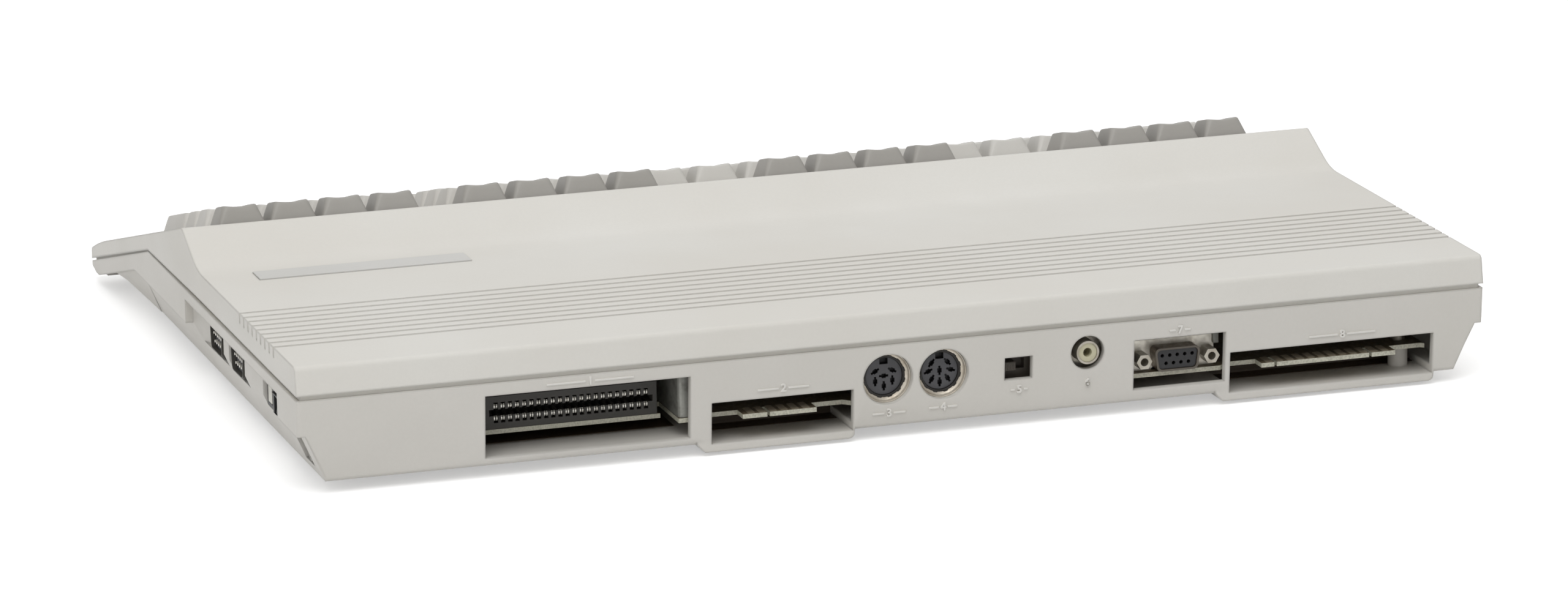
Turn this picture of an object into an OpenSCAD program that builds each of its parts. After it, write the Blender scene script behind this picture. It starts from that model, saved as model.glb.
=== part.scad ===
// Flat home computer with a built-in keyboard: two case shells, boards, sockets, switches and keys.
// Frame: +Z up, +X to the right of someone at the keys, +Y to the back, origin below the middle.
// A "run" is a distance forward from the back of the case, so that y = back_y - run.

/* [Case] */
// Width of the case
case_w = 430; // [426:1:440]
// Depth of the case, front to back
case_d = 330; // [328:1:340]
// Height of the case floor above the table
floor_z = 4.4; // [3.8:0.1:5.5]
// Height of the lower shell's top edge at the back
seam_z = 34; // [33:0.5:36]
// Gap between the two shells at the seam
seam_gap = 1.6; // [1:0.1:2]
// Height of the level deck behind the keys
deck_z = 45.5; // [45:0.5:48]
// Height of the ridge behind the keys
ridge_z = 56; // [55:0.5:59]
// Depth of the concave sweep from the deck up to the ridge
sweep_d = 23; // [21:0.5:25]
// Distance from the front row of keys to the front edge
palm_d = 39.2; // [38:0.1:42]
// Fall of the keyboard slope, in degrees
slope = 14.7; // [14:0.1:15.2]
// Wall thickness of both shells
wall = 2.5; // [2.2:0.1:2.8]
// Lean of the lower shell's back wall, from its foot to its top
back_lean = 2.6; // [1:0.1:3.5]
// Draft of the upper shell's back wall
back_draft = 2; // [0.5:0.1:3]
// Depth of the part in front of the seam's bend
seam_front = 101.5; // [99:0.5:104]
// Height of the front lip's nose
lip_h = 5; // [4:0.5:6]

/* [Lower shell sides] */
// Height of the straight side band's lower edge
ledge_z = 21.2; // [20.5:0.1:22]
// Width of the ledge under the side band
ledge_w = 2.8; // [2:0.1:3]
// Slope of the sides below the ledge, in degrees from upright
side_slope = 23; // [20:1:25]
// Rise of the floor's outer corners towards the front lip
corner_h = 5; // [3:0.1:5.2]
// Run of the front end of the port channel
channel_front = 169; // [166:1:171]
// Run of the back end of the port channel
channel_back = 29; // [28:0.5:31]
// Height of the port channel's top
channel_z = 29.9; // [29.5:0.1:30.5]
// Depth of the finger scoop ahead of the first port
scoop_depth = 4; // [2.5:0.1:4.5]

/* [Deck] */
// Number of ventilation grooves
groove_count = 9; // [6:1:9]
// Spacing of the grooves
groove_pitch = 6.24; // [5.5:0.01:6.5]
// Run of the first groove
groove_run = 31.6; // [29:0.1:33]
// Width of a groove
groove_w = 1.5; // [1.2:0.1:2]
// Depth of a groove
groove_depth = 1; // [0.6:0.1:1.2]
// How far the grooves come down the sides
groove_drop = 3.6; // [2:0.1:5]
// Length of the badge plate
badge_w = 77; // [60:1:80]
// Width of the badge plate
badge_d = 11.6; // [9:0.1:13]
// Thickness of the badge plate
badge_t = 0.8; // [0.6:0.1:1]
// Place of the badge plate's middle along the width
badge_x = 158.6; // [150:0.1:165]
// Distance from the badge plate's middle to the foot of the sweep
badge_gap = 15.6; // [12:0.1:20]

/* [Rear openings] */
// Expansion opening, width
expansion_w = 72.6; // [70:0.1:74]
// Expansion opening, middle along the width
expansion_x = 113.05; // [112:0.05:114]
// Expansion opening, lower edge
expansion_z = 7.2; // [7:0.1:8]
// Expansion opening, upper edge
expansion_top = 29.5; // [29:0.1:30.5]
// Tape opening, width
tape_w = 51; // [49:0.1:53]
// Tape opening, middle along the width
tape_x = 43.6; // [43:0.1:44.2]
// User port opening, width
user_w = 76.4; // [74:0.1:77]
// User port opening, middle along the width
user_x = -158.4; // [-159:0.1:-158]
// Upper edge of the tape and user openings
tray_top = 19.1; // [18.6:0.1:19.6]
// Inside floor of the connector trays
tray_floor = 4.2; // [4:0.1:4.5]
// Underside of the connector trays
tray_z = 1.4; // [1:0.1:1.8]
// How far the trays reach in from the back
tray_run = 30; // [26:1:34]
// Radius of the round socket openings
din_open_r = 9; // [8.8:0.1:9.3]
// Height of the round sockets' middle
din_z = 21.6; // [21:0.1:22]
// Serial socket, middle along the width
serial_x = 5.65; // [5:0.05:6.2]
// Video socket, middle along the width
video_x = -14.65; // [-15:0.05:-14]
// Channel switch opening, middle along the width
channel_x = -41.9; // [-43:0.1:-41]
// Channel switch opening, width
channel_w = 10.2; // [9.6:0.1:11]
// Channel switch opening, height
channel_h = 8.2; // [7.6:0.1:8.8]
// Channel switch opening, height of its middle
channel_mid = 21; // [20.6:0.1:21.4]
// Aerial jack, middle along the width
aerial_x = -67.2; // [-68:0.1:-66]
// Aerial jack, height of its middle
aerial_z = 24.3; // [23.8:0.1:24.8]
// Radius of the aerial jack's opening
aerial_open_r = 6.1; // [5.9:0.1:6.4]
// Colour monitor opening, width
monitor_w = 34; // [33.4:0.1:34.4]
// Colour monitor opening, middle along the width
monitor_x = -101.4; // [-101.6:0.1:-101.2]
// Colour monitor opening, lower edge
monitor_z = 8.7; // [8.2:0.1:9.2]
// Colour monitor opening, upper edge
monitor_top = 26.9; // [26.5:0.1:27.5]

/* [Side openings] */
// Width of a joystick port opening
joy_w = 23.6; // [22:0.1:24]
// Height of a joystick port opening
joy_h = 12; // [11.6:0.1:12.2]
// Run of the first joystick port's middle
joy_run = 135; // [134:0.1:136]
// Spacing of the joystick ports
joy_pitch = 32.2; // [31.6:0.1:33]
// Height of the joystick ports' middle
joy_z = 22.8; // [22.5:0.1:23]
// Run of the switch opening's middle
switch_run = 47.8; // [47:0.1:49]
// Width of the switch opening
switch_w = 26.5; // [26:0.1:27]
// Height of the switch opening
switch_h = 10; // [9.8:0.1:10.4]
// Height of the switch opening's middle
switch_z = 22.5; // [22.3:0.1:23]
// Run of the power socket's middle
inlet_run = 18; // [17.5:0.5:18.5]
// Height of the power socket's middle
inlet_z = 13.2; // [13:0.1:13.6]
// Width of the power socket opening
inlet_w = 12.4; // [11:0.1:14]
// Height of the power socket opening
inlet_h = 10.6; // [10.2:0.1:11]

/* [Keyboard] */
// Key spacing
key_pitch = 19.05; // [18.9:0.01:19.1]
// Gap between the feet of two neighbouring keys
key_gap = 0.7; // [0.5:0.1:1]
// Right-hand edge of the keypad
pad_right = 201.3; // [200.6:0.1:202]
// Right-hand edge of the main block
main_right = 111.3; // [110.8:0.1:111.8]
// Distance from the ridge to the top row
row_start = 3.6; // [3.4:0.1:4]
// Gap between the top row and the other rows
top_gap = 7; // [6:0.1:7.5]
// Height of the key tops above the slope
cap_rise = 6.9; // [6.6:0.1:7.4]
// How far the key feet reach below the slope
cap_drop = 2.4; // [2:0.1:2.6]
// Draft of a key's sides, from foot to top
cap_side = 3.1; // [2.8:0.1:3.3]
// Draft of a key's back and front
cap_back = 1.6; // [1.4:0.1:2.2]
// Radius of the hollow in a key top
dish_r = 26; // [24:1:40]
// Depth of the hollow in a key top
dish_depth = 0.9; // [0.6:0.1:1.2]
// Travel of a key
key_travel = 3.8; // [3:0.1:4]
// Radius of a key stem
stem_r = 2.5; // [2.2:0.1:2.8]
// Clearance round a key stem
stem_gap = 0.1; // [0.05:0.05:0.2]
// Clearance between the keys and the case
key_open = 0.8; // [0.6:0.1:1.1]
// Depth of the key carrier's top below the slope
frame_drop = 7.5; // [7:0.1:8]
// Thickness of the key carrier
frame_t = 3; // [2.5:0.1:3.2]
// Depth of the key board's top below the slope
keyboard_drop = 15.2; // [15:0.1:15.6]

/* [Boards] */
// Thickness of the boards
board_t = 1.6; // [1.4:0.1:1.8]
// Height of the main board's underside
board_z = 12; // [11.5:0.1:12.4]
// Run from the back to the main board's rear edge
board_back = 5.8; // [5.7:0.1:6.2]
// Run from the back to the ends of the connector tongues
tongue_back = 3.2; // [2.5:0.1:3.6]
// Distance from the main board's front edge to the ridge
board_gap = 20; // [16:1:26]
// Distance from the main board's side edges to the case's sides
board_side = 19; // [18:0.5:21]
// Run of the board's edge behind the expansion opening
notch_run = 15; // [14:0.5:17]
// Run of the board's edge beside the two tongues
shoulder_run = 9.5; // [8.5:0.1:11]
// Spacing of the edge contacts on the tongues
finger_pitch = 3.96; // [3.9:0.01:4]
// Spacing of the contacts in the expansion socket
socket_pitch = 2.54; // [2.5:0.01:2.56]

/* [Hardware] */
// Distance from the feet and the outer case screws to the case's sides
foot_side = 20; // [19:0.5:22]
// Radius of the rubber feet
foot_r = 6.5; // [6:0.5:7]
// Radius of the case screws
screw_r = 1.5; // [1.3:0.1:1.7]
// Radius of the case screws' heads
screw_head_r = 3.2; // [3:0.1:3.4]
// Clearance round fixed parts
fit_gap = 0.3; // [0.2:0.05:0.4]
// Spacing of the monitor socket's jack screws
jack_pitch = 24.99; // [24.9:0.01:25.1]
// Bore of the jack screws
jack_bore_r = 1.42; // [1.3:0.01:1.5]

/* [Hidden] */
$fn = 48;

back_y = case_d / 2;
half_w = case_w / 2;
fall = tan(slope);
inner_floor = floor_z + wall;
board_top = board_z + board_t;
upper_z = seam_z + seam_gap;
keys_depth = key_pitch * 6 + top_gap;
ridge_run = case_d - palm_d - (row_start + keys_depth) * cos(slope);
kink_run = ridge_run - sweep_d;
seam_bend_run = case_d - seam_front;
badge_run = kink_run - badge_gap;
board_front = ridge_run - board_gap;
board_w = case_w - 2 * board_side;
front_top_run = case_d - 10;
ledge_bend_run = seam_bend_run + (seam_z - ledge_z) * 2;
side_in = ledge_w + wall;
floor_in = side_in + (ledge_z - inner_floor) * tan(side_slope) + 0.3;
// Each side socket sits near the front end of its opening.
joy_front = joy_run + 9.6;
channel_wall_x = half_w - ledge_w;

// Colours
beige = [0.83, 0.82, 0.79];
beige_low = [0.75, 0.74, 0.71];
key_light = [0.76, 0.75, 0.72];
key_dark = [0.55, 0.54, 0.51];
board_green = [0.32, 0.40, 0.30];
metal = [0.72, 0.70, 0.66];
black = [0.13, 0.13, 0.13];

// ---- geometry helpers ----
function unit(v) = v / norm(v);
// Left-hand normal of the edge a-b; it points inwards on an anticlockwise outline.
function normal(a, b) = let (d = unit(b - a)) [-d[1], d[0]];
function xy(p) = [p[0], p[1]];
// One corner of an outline, rounded with radius r.
function corner(a, p, b, r, n = 5) = r == 0 ? [p] :
    let (u = unit(a - p), v = unit(b - p), half = acos(u * v) / 2,
         c = p + unit(u + v) * r / sin(half),
         s = p + u * r / tan(half), e = p + v * r / tan(half),
         a0 = atan2(s[1] - c[1], s[0] - c[0]), a1 = atan2(e[1] - c[1], e[0] - c[0]),
         turn = (a1 - a0 + 540) % 360 - 180)
    [for (i = [0:n]) c + r * [cos(a0 + turn * i / n), sin(a0 + turn * i / n)]];
// An outline of [x, y, radius] corners.
function rounded(pts) = [for (i = [0:len(pts) - 1])
    each corner(xy(pts[(i + len(pts) - 1) % len(pts)]), xy(pts[i]), xy(pts[(i + 1) % len(pts)]), pts[i][2])];
// A corner moved to the left of its two edges by t.
function moved(a, p, b, t) =
    let (n1 = normal(a, p), n2 = normal(p, b)) p + (n1 + n2) * t / (1 + n1 * n2);
// Height of the keyboard slope at a run.
function slope_z(run) = ridge_z - (run - ridge_run) * fall;
// Height of a line parallel to the slope that starts at z at the seam's bend.
function front_z(run, z) = z - (run - seam_bend_run) * fall;

// Extrudes a [y, z] outline along X, about the middle.
module across(w, x = 0) {
    translate([x, 0, 0]) rotate([90, 0, 90]) linear_extrude(w, center = true) children();
}
// Extrudes an [x, z] outline from run0 forward to run1.
module along(run0, run1) {
    translate([0, back_y - run0, 0]) rotate([90, 0, 0]) linear_extrude(run1 - run0) children();
}
// A box given by its middle in x, its width, its runs and its heights.
module block(x, w, run0, run1, z0, z1) {
    translate([x - w / 2, back_y - run1, z0]) cube([w, run1 - run0, z1 - z0]);
}
// A round piece along Y, from run0 forward to run1.
module round_y(x, z, r, run0, run1) {
    translate([x, back_y - run0, z]) rotate([90, 0, 0]) cylinder(r = r, h = run1 - run0);
}
// A round piece along X, from x0 to x1.
module round_x(run, z, r, x0, x1) {
    translate([x0, back_y - run, z]) rotate([0, 90, 0]) cylinder(r = r, h = x1 - x0);
}
// An upright round piece.
module post(x, run, r, z0, z1) {
    translate([x, back_y - run, z0]) cylinder(r = r, h = z1 - z0);
}
// Puts its children in the slope's frame: -y runs down the slope and z stands on it.
module on_slope() {
    translate([0, back_y - ridge_run, ridge_z]) rotate([slope, 0, 0]) children();
}

// ---- outlines of the shells, as [y, z] ----
upper_chain = [
    [back_y - 0.3, upper_z], [back_y - back_draft, deck_z], [back_y - kink_run, deck_z],
    [back_y - ridge_run, ridge_z], [back_y - front_top_run, slope_z(front_top_run)],
    [-back_y, front_z(case_d, upper_z) + lip_h], [-back_y, front_z(case_d, upper_z) + 0.3]];
upper_radii = [0, 2, 30, 4, 14, 2, 0];
upper_bottom = [[back_y - seam_bend_run, upper_z]];
function chain_inner(i) = moved(upper_chain[i - 1], upper_chain[i], upper_chain[i + 1], wall);
module upper_outline() {
    polygon(rounded(concat([for (i = [0:6]) [upper_chain[i][0], upper_chain[i][1], upper_radii[i]]],
        [[upper_bottom[0][0], upper_bottom[0][1], 0]])));
}
module upper_hollow() {
    inner = [for (i = [1:5]) chain_inner(i)];
    polygon(rounded(concat(
        [[back_y - 0.3 - wall, upper_z - 3, 0]],
        [for (i = [0:4]) [inner[i][0], inner[i][1], [1, 28, 2, 10, 0.8][i]]],
        [[-back_y + wall, front_z(case_d, upper_z) - 3, 0], [upper_bottom[0][0], upper_z - 3, 0]])));
}
module lower_outline() {
    polygon(rounded([
        [back_y, seam_z, 0], [back_y - seam_bend_run, seam_z, 0],
        [-back_y + 0.9, front_z(case_d - 0.9, seam_z), 0.4],
        [-back_y + 0.4, front_z(case_d, seam_z) - 1.6, 1], [-back_y + 7, floor_z, 8],
        [back_y - back_lean - 1.2, floor_z, 0], [back_y - back_lean, floor_z + 1.2, 0]]));
}
module lower_hollow() {
    polygon([[back_y - wall - 0.2, seam_z + 3], [back_y - seam_bend_run, seam_z + 3],
        [-back_y + 9, front_z(case_d - 9, seam_z) + 3], [-back_y + 9, inner_floor],
        [back_y - back_lean - wall - 0.2, inner_floor]]);
}

// A slab between two heights above the seam, and in plan a ring between two distances from the edge.
module seam_ring(z0, z1, out, in) {
    intersection() {
        across(case_w) polygon([
            [back_y, seam_z + z0], [back_y - seam_bend_run, seam_z + z0], [-back_y, front_z(case_d, seam_z + z0)],
            [-back_y, front_z(case_d, seam_z + z1)], [back_y - seam_bend_run, seam_z + z1], [back_y, seam_z + z1]]);
        linear_extrude(2 * seam_z) difference() {
            square([case_w - 2 * out, case_d - 2 * out], center = true);
            square([case_w - 2 * in, case_d - 2 * in], center = true);
        }
    }
}

// ---- case screws: [x, run] ----
front_screw_run = case_d - 26;
screw_x = half_w - foot_side + 4;
screw_spots = [[-screw_x, 66], [half_w - 23, 74], [-3, kink_run - 29], [-screw_x, front_screw_run],
    [0, front_screw_run], [screw_x, front_screw_run]];
function screw_top(s) = s[1] < seam_bend_run ? seam_z : front_z(s[1], seam_z);
function screw_seat(s) = s[1] < seam_bend_run ? seam_z - 8 : floor_z + 3.2;
function post_top(s) = s[1] < kink_run ? deck_z - wall / 2 : slope_z(s[1]) - wall;
boss_r = 5;
tongue_h = 1.6;
tongue_in = 1.4;
pilot_gap = 0.05;

// ---- keyboard layout ----
// Row r of the keys: distance from the ridge to the middle of the row, along the slope.
function row_y(r) = -(row_start + (r > 0 ? top_gap : 0) + key_pitch * (r + 0.5));
// Keys of one row as [first unit, units wide], counted leftwards from the right-hand edge of the block.
number_row = [for (i = [0:15]) [i, 1]];
upper_row = [[0, 1.5], for (i = [0:12]) [1.5 + i, 1], [14.5, 1.5]];
home_row = [for (i = [0:10]) [2.25 + i, 1], [14.75, 1.25]];
lower_row = [[0, 1], [1, 1], [2, 2], for (i = [0:9]) [4 + i, 1], [14, 2]];
lock_key = [13.25, 1];
enter_line = [0, 2.25];
home_extra = [13.25, 1.5];
space_span = [4, 9];
keypad = [for (r = [1:2]) for (i = [0:3]) [r, i, 1], for (i = [1:3]) [3, i, 1], [4, 1, 1], [4, 2, 2]];

// One key in the slope's frame. x is the key's middle, y the row's middle, u and v its units wide and deep.
module key(x, y, u = 1, v = 1, stems = 1) {
    w = key_pitch * u - key_gap;
    d = key_pitch * v - key_gap;
    h = cap_rise + cap_drop;
    stem_span = key_pitch * (u - 1) * 0.7;
    translate([x, y, -cap_drop]) {
        difference() {
            intersection() {
                rotate([90, 0, 0]) linear_extrude(d, center = true)
                    polygon([[-w / 2, 0], [w / 2, 0], [w / 2 - cap_side, h], [-w / 2 + cap_side, h]]);
                rotate([90, 0, 90]) linear_extrude(w, center = true)
                    polygon([[-d / 2, 0], [d / 2, 0], [d / 2 - cap_back, h], [-d / 2 + cap_back * 1.8, h]]);
            }
            if (u < 4)
                translate([0, 0, h - dish_depth + dish_r * u]) rotate([90, 0, 0])
                    cylinder(r = dish_r * u, h = d + 1, center = true, $fn = 96);
        }
        for (i = [0:stems - 1])
            translate([stems == 1 ? 0 : stem_span * (i / (stems - 1) - 0.5), 0,
                    -(frame_drop + frame_t - cap_drop + 0.3)])
                cylinder(r = stem_r, h = frame_drop + frame_t - cap_drop + 0.4, $fn = 32);
    }
}
function main_x(k) = main_right - key_pitch * (k[0] + k[1] / 2);
function pad_x(first, units) = pad_right - key_pitch * (first + units / 2);
module main_keys(row, keys) {
    for (k = keys) key(main_x(k), row_y(row), k[1]);
}
// A dark key of the top row. Group 0 stands over the keypad, groups 1 to 3 over the main block.
function top_x(group, i) = group == 0 ? pad_x(i, 1) : main_right - key_pitch * ((group - 1) * 6 + i + 0.5);
module top_key(group, i) {
    color(key_dark) on_slope() key(top_x(group, i), row_y(0));
}

// The stems of all keys, as [x, y] in the slope's frame.
stem_spots = concat(
    [for (g = [0:3]) for (i = [0:3]) [top_x(g, i), row_y(0)]],
    [for (k = number_row) [main_x(k), row_y(1)]], [for (k = upper_row) [main_x(k), row_y(2)]],
    [for (k = home_row) [main_x(k), row_y(3)]],
    [[main_x([13.25, 1.5]), row_y(3)], [main_x(enter_line), row_y(3)]],
    [for (k = lower_row) [main_x(k), row_y(4)]],
    [for (i = [-1:1]) [main_x(space_span) + i * key_pitch * 2.8, row_y(5)]],
    [for (k = keypad) [pad_x(k[1], k[2]), row_y(k[0])]],
    [[pad_x(0, 1), (row_y(3) + row_y(4)) / 2]]);

// Openings for the keys, as [right-hand edge, left-hand edge, first row, last row].
key_windows = concat(
    [for (g = [0:3]) [top_x(g, 0) + key_pitch / 2, top_x(g, 3) - key_pitch / 2, 0, 0]],
    [[main_right, main_right - key_pitch * 16, 1, 4],
     [main_right - key_pitch * space_span[0], main_right - key_pitch * (space_span[0] + space_span[1]), 5, 5],
     [pad_right, pad_right - key_pitch * 4, 1, 4]]);
module key_window(k) {
    grow = key_open - key_gap / 2;
    y1 = row_y(k[2]) + key_pitch / 2 + grow;
    y0 = row_y(k[3]) - key_pitch / 2 - grow;
    translate([k[1] - grow, y0, -frame_drop]) cube([k[0] - k[1] + 2 * grow, y1 - y0, 2 * frame_drop]);
}

// Posts between the upper shell and the key carrier, as [x, y] in the slope's frame.
frame_right = pad_right + 1.5;
frame_left = main_right - key_pitch * 16 - 4;
frame_front = -(row_start + keys_depth + 5);
frame_spots = [for (x = [frame_left + 60, main_right + 7, -40]) for (y = [frame_front + 2.6]) [x, y],
    [main_right + 7, -(row_start + key_pitch + top_gap / 2)], [-39, -(row_start + key_pitch + top_gap / 2)],
    [-154, -(row_start + key_pitch + top_gap / 2)]];
frame_post_r = 2.4;
frame_screw_r = 1;

// ---- case ----
module upper_case() {
    color(beige) difference() {
        union() {
            difference() {
                across(case_w) upper_outline();
                across(case_w - 2 * wall) upper_hollow();
            }
            seam_ring(-tongue_h, seam_gap + 1, tongue_in, wall);
            for (s = screw_spots) post(s[0], s[1], boss_r - 1, screw_top(s) + 0.05, post_top(s));
            on_slope() for (p = frame_spots)
                translate([p[0], p[1], -frame_drop]) cylinder(r = frame_post_r, h = frame_drop - wall + 0.5);
        }
        for (s = screw_spots) post(s[0], s[1], screw_r + pilot_gap, screw_top(s) - 1, screw_top(s) + 4);
        on_slope() {
            for (k = key_windows) key_window(k);
            for (p = frame_spots)
                translate([p[0], p[1], -frame_drop - 1]) cylinder(r = frame_screw_r + pilot_gap, h = 4);
            lamp_hole();
        }
        for (i = [0:groove_count - 1]) groove(groove_run + i * groove_pitch);
        block(badge_x, badge_w + 2 * fit_gap / 2, badge_run - badge_d / 2 - fit_gap / 2,
            badge_run + badge_d / 2 + fit_gap / 2, deck_z - badge_t / 2, deck_z + 1);
    }
}
// One groove over the deck and down both sides.
module groove(run) {
    block(0, case_w + 2, run - groove_w / 2, run + groove_w / 2, deck_z - groove_depth, deck_z + 1);
    for (s = [-1, 1])
        block(s * (half_w - groove_depth / 2 + 0.5), groove_depth + 1, run - groove_w / 2, run + groove_w / 2,
            deck_z - groove_drop, deck_z + 1);
}

// The cut under one side band; the band's lower edge turns down with the seam.
module side_undercut() {
    reach = 40;
    cut = [[half_w + 2, 0], [half_w - ledge_w, 0],
        [half_w - ledge_w - reach * tan(side_slope), -reach], [half_w + 2, -reach]];
    along(-1, ledge_bend_run) translate([0, ledge_z]) polygon(cut);
    translate([0, back_y - ledge_bend_run, ledge_z]) rotate([slope, 0, 0])
        rotate([90, 0, 0]) linear_extrude(case_d - ledge_bend_run + 10) polygon(cut);
}
// The floor's outer corner rises from the seam's bend towards the front lip.
module corner_rise() {
    tip = channel_wall_x - (ledge_z - floor_z) * tan(side_slope);
    full_run = ledge_bend_run + 32;
    cut = [[half_w - 13, floor_z - 0.1], [half_w - 4, floor_z + corner_h],
        [channel_wall_x, floor_z + corner_h], [channel_wall_x, -1], [half_w - 13, -1]];
    hull() {
        along(ledge_bend_run, ledge_bend_run + 0.1)
            polygon([[tip, floor_z], [tip, floor_z - 0.1], [tip + 0.1, floor_z - 0.1]]);
        along(full_run, full_run + 0.1) polygon(cut);
    }
    along(full_run, case_d - 14) polygon(cut);
}
// A connector tray: it hangs below the floor so that a plug fits under the board's tongue.
module tray(x, w, foot) {
    along(back_lean, tray_run) polygon(rounded([
        [x + w / 2 + wall + 0.7 + foot, floor_z, 0], [x + w / 2 + wall, tray_z, 1.2],
        [x - w / 2 - 0.3, tray_z, 2], [x - w / 2 - 0.8, inner_floor, 0],
        [x + w / 2 + wall + 0.7 + foot, inner_floor, 0]]));
}
module tray_hollow(x, w) {
    block(x, w, -1, tray_run - wall, tray_floor, inner_floor + 0.1);
    block(x, w, -1, back_lean + wall + 1, tray_floor, tray_top);
}
module lower_case() {
    color(beige_low) difference() {
        union() {
            difference() {
                across(case_w) lower_outline();
                intersection() {
                    across(case_w) lower_hollow();
                    along(-1, case_d + 1) polygon([
                        [half_w - side_in, seam_z + 5], [half_w - side_in, ledge_z],
                        [half_w - floor_in, inner_floor], [-half_w + floor_in, inner_floor],
                        [-half_w + side_in, ledge_z], [-half_w + side_in, seam_z + 5]]);
                }
            }
            tray(tape_x, tape_w, 2);
            tray(user_x, user_w, 2);
            for (s = screw_spots) post(s[0], s[1], boss_r, floor_z, screw_top(s));
            for (s = board_spots) post(s[0], s[1], board_post_r, floor_z + 1, board_z);
            // Thicker wall behind the finger scoop.
            block(scoop_back_x + (half_w - scoop_back_x) / 2, half_w - scoop_back_x, joy_front + 1,
                channel_front + wall, inner_floor - 1, seam_z);
        }
        for (m = [0, 1]) mirror([m, 0, 0]) {
            side_undercut();
            corner_rise();
        }
        seam_ring(-tongue_h - fit_gap, 3, tongue_in - fit_gap / 2, wall + fit_gap / 2);
        for (s = screw_spots) {
            post(s[0], s[1], screw_head_r + fit_gap, -1, screw_seat(s));
            post(s[0], s[1], screw_r + fit_gap, screw_seat(s) - 1, screw_top(s) + 1);
        }
        for (s = board_spots) post(s[0], s[1], board_screw_r + pilot_gap, board_z - 4, board_z + 1);
        rear_openings();
        side_openings();
        vents();
    }
    // The post beside the user tongue stands on the floor of its tray.
    color(beige_low) post(board_spots[0][0], board_spots[0][1], board_post_r, tray_floor - 0.5, board_z - 4.5);
}
scoop_back_x = channel_wall_x - scoop_depth - wall;
module rear_openings() {
    depth = back_lean + wall + 1;
    block(expansion_x, expansion_w, -1, depth, expansion_z, expansion_top);
    tray_hollow(tape_x, tape_w);
    tray_hollow(user_x, user_w);
    for (x = [serial_x, video_x]) round_y(x, din_z, din_open_r, -1, depth);
    block(channel_x, channel_w, -1, depth, channel_mid - channel_h / 2, channel_mid + channel_h / 2);
    round_y(aerial_x, aerial_z, aerial_open_r, -1, depth);
    block(monitor_x, monitor_w, -1, depth, monitor_z, monitor_top);
}
module side_openings() {
    side = side_in + 6;
    scoop_low = joy_z - joy_h / 2 - 0.6;
    mid = half_w - side / 2 + 1;
    // Channel under the overhanging edge, with a finger scoop that deepens towards the first port.
    block(half_w - ledge_w / 2 + 1, ledge_w + 2, channel_back, channel_front, ledge_z - 0.5, channel_z);
    translate([0, 0, scoop_low]) linear_extrude(channel_z - scoop_low) polygon([
        [half_w + 1, back_y - channel_front], [channel_wall_x, back_y - channel_front],
        [channel_wall_x - scoop_depth * 0.45, back_y - channel_front + 6],
        [channel_wall_x - scoop_depth * 0.85, back_y - channel_front + 14],
        [channel_wall_x - scoop_depth, back_y - joy_front - 2],
        [channel_wall_x - scoop_depth, back_y - joy_front],
        [half_w + 1, back_y - joy_front]]);
    for (i = [0, 1]) block(mid, side, joy_front - i * joy_pitch - joy_w, joy_front - i * joy_pitch,
        joy_z - joy_h / 2, joy_z + joy_h / 2);
    block(mid, side, switch_run - switch_w / 2, switch_run + switch_w / 2, switch_z - switch_h / 2,
        switch_z + switch_h / 2);
    block(half_w - floor_in / 2, floor_in + 3, inlet_run - inlet_w / 2, inlet_run + inlet_w / 2,
        inlet_z - inlet_h / 2, inlet_z + inlet_h / 2);
}
vent_count = 14;
vent_pitch = 7;
vent_w = 2.4;
vent_len = 35;
vent_run = ridge_run + 10;
module vents() {
    for (bank = [-95, 95]) for (i = [0:vent_count - 1])
        block(bank + (i - (vent_count - 1) / 2) * vent_pitch, vent_w, vent_run, vent_run + vent_len,
            floor_z - 1, inner_floor + 1);
}
module case_screws() {
    color(metal) for (s = screw_spots) {
        difference() {
            post(s[0], s[1], screw_head_r, screw_seat(s) - 2.2, screw_seat(s));
            for (a = [0, 90]) translate([s[0], back_y - s[1], screw_seat(s) - 2.2]) rotate([0, 0, a])
                cube([3.4, 0.8, 2.2], center = true);
        }
        post(s[0], s[1], screw_r, screw_seat(s) - 0.01, screw_top(s) + 3.8);
    }
}
foot_x = half_w - foot_side;
foot_spots = [[-foot_x, 38], [foot_x, 38], [-foot_x, case_d - 44], [foot_x, case_d - 44]];
module rubber_feet() {
    color(black) for (s = foot_spots) translate([s[0], back_y - s[1], 0])
        rotate_extrude() polygon([[0, 0], [foot_r - 0.8, 0], [foot_r, 0.8], [foot_r, floor_z], [0, floor_z]]);
}
module badge_plate() {
    color([0.78, 0.78, 0.76]) block(badge_x, badge_w, badge_run - badge_d / 2, badge_run + badge_d / 2,
        deck_z - badge_t / 2, deck_z + badge_t / 2);
}
lamp_x = -204;
lamp_w = 5;
lamp_d = 2.6;
module lamp_hole() {
    translate([lamp_x, row_y(0), 0]) cube([lamp_w, lamp_d, 12], center = true);
}
module power_lamp() {
    gap = fit_gap / 3;
    color([0.75, 0.1, 0.08]) on_slope() translate([lamp_x, row_y(0), 0]) {
        translate([-lamp_w / 2 + gap, -lamp_d / 2 + gap, -wall - 1])
            cube([lamp_w - 2 * gap, lamp_d - 2 * gap, wall + 0.9]);
        translate([-lamp_w / 2 - 1, -lamp_d / 2 - 1, -wall - 2]) cube([lamp_w + 2, lamp_d + 2, 2]);
    }
}

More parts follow.
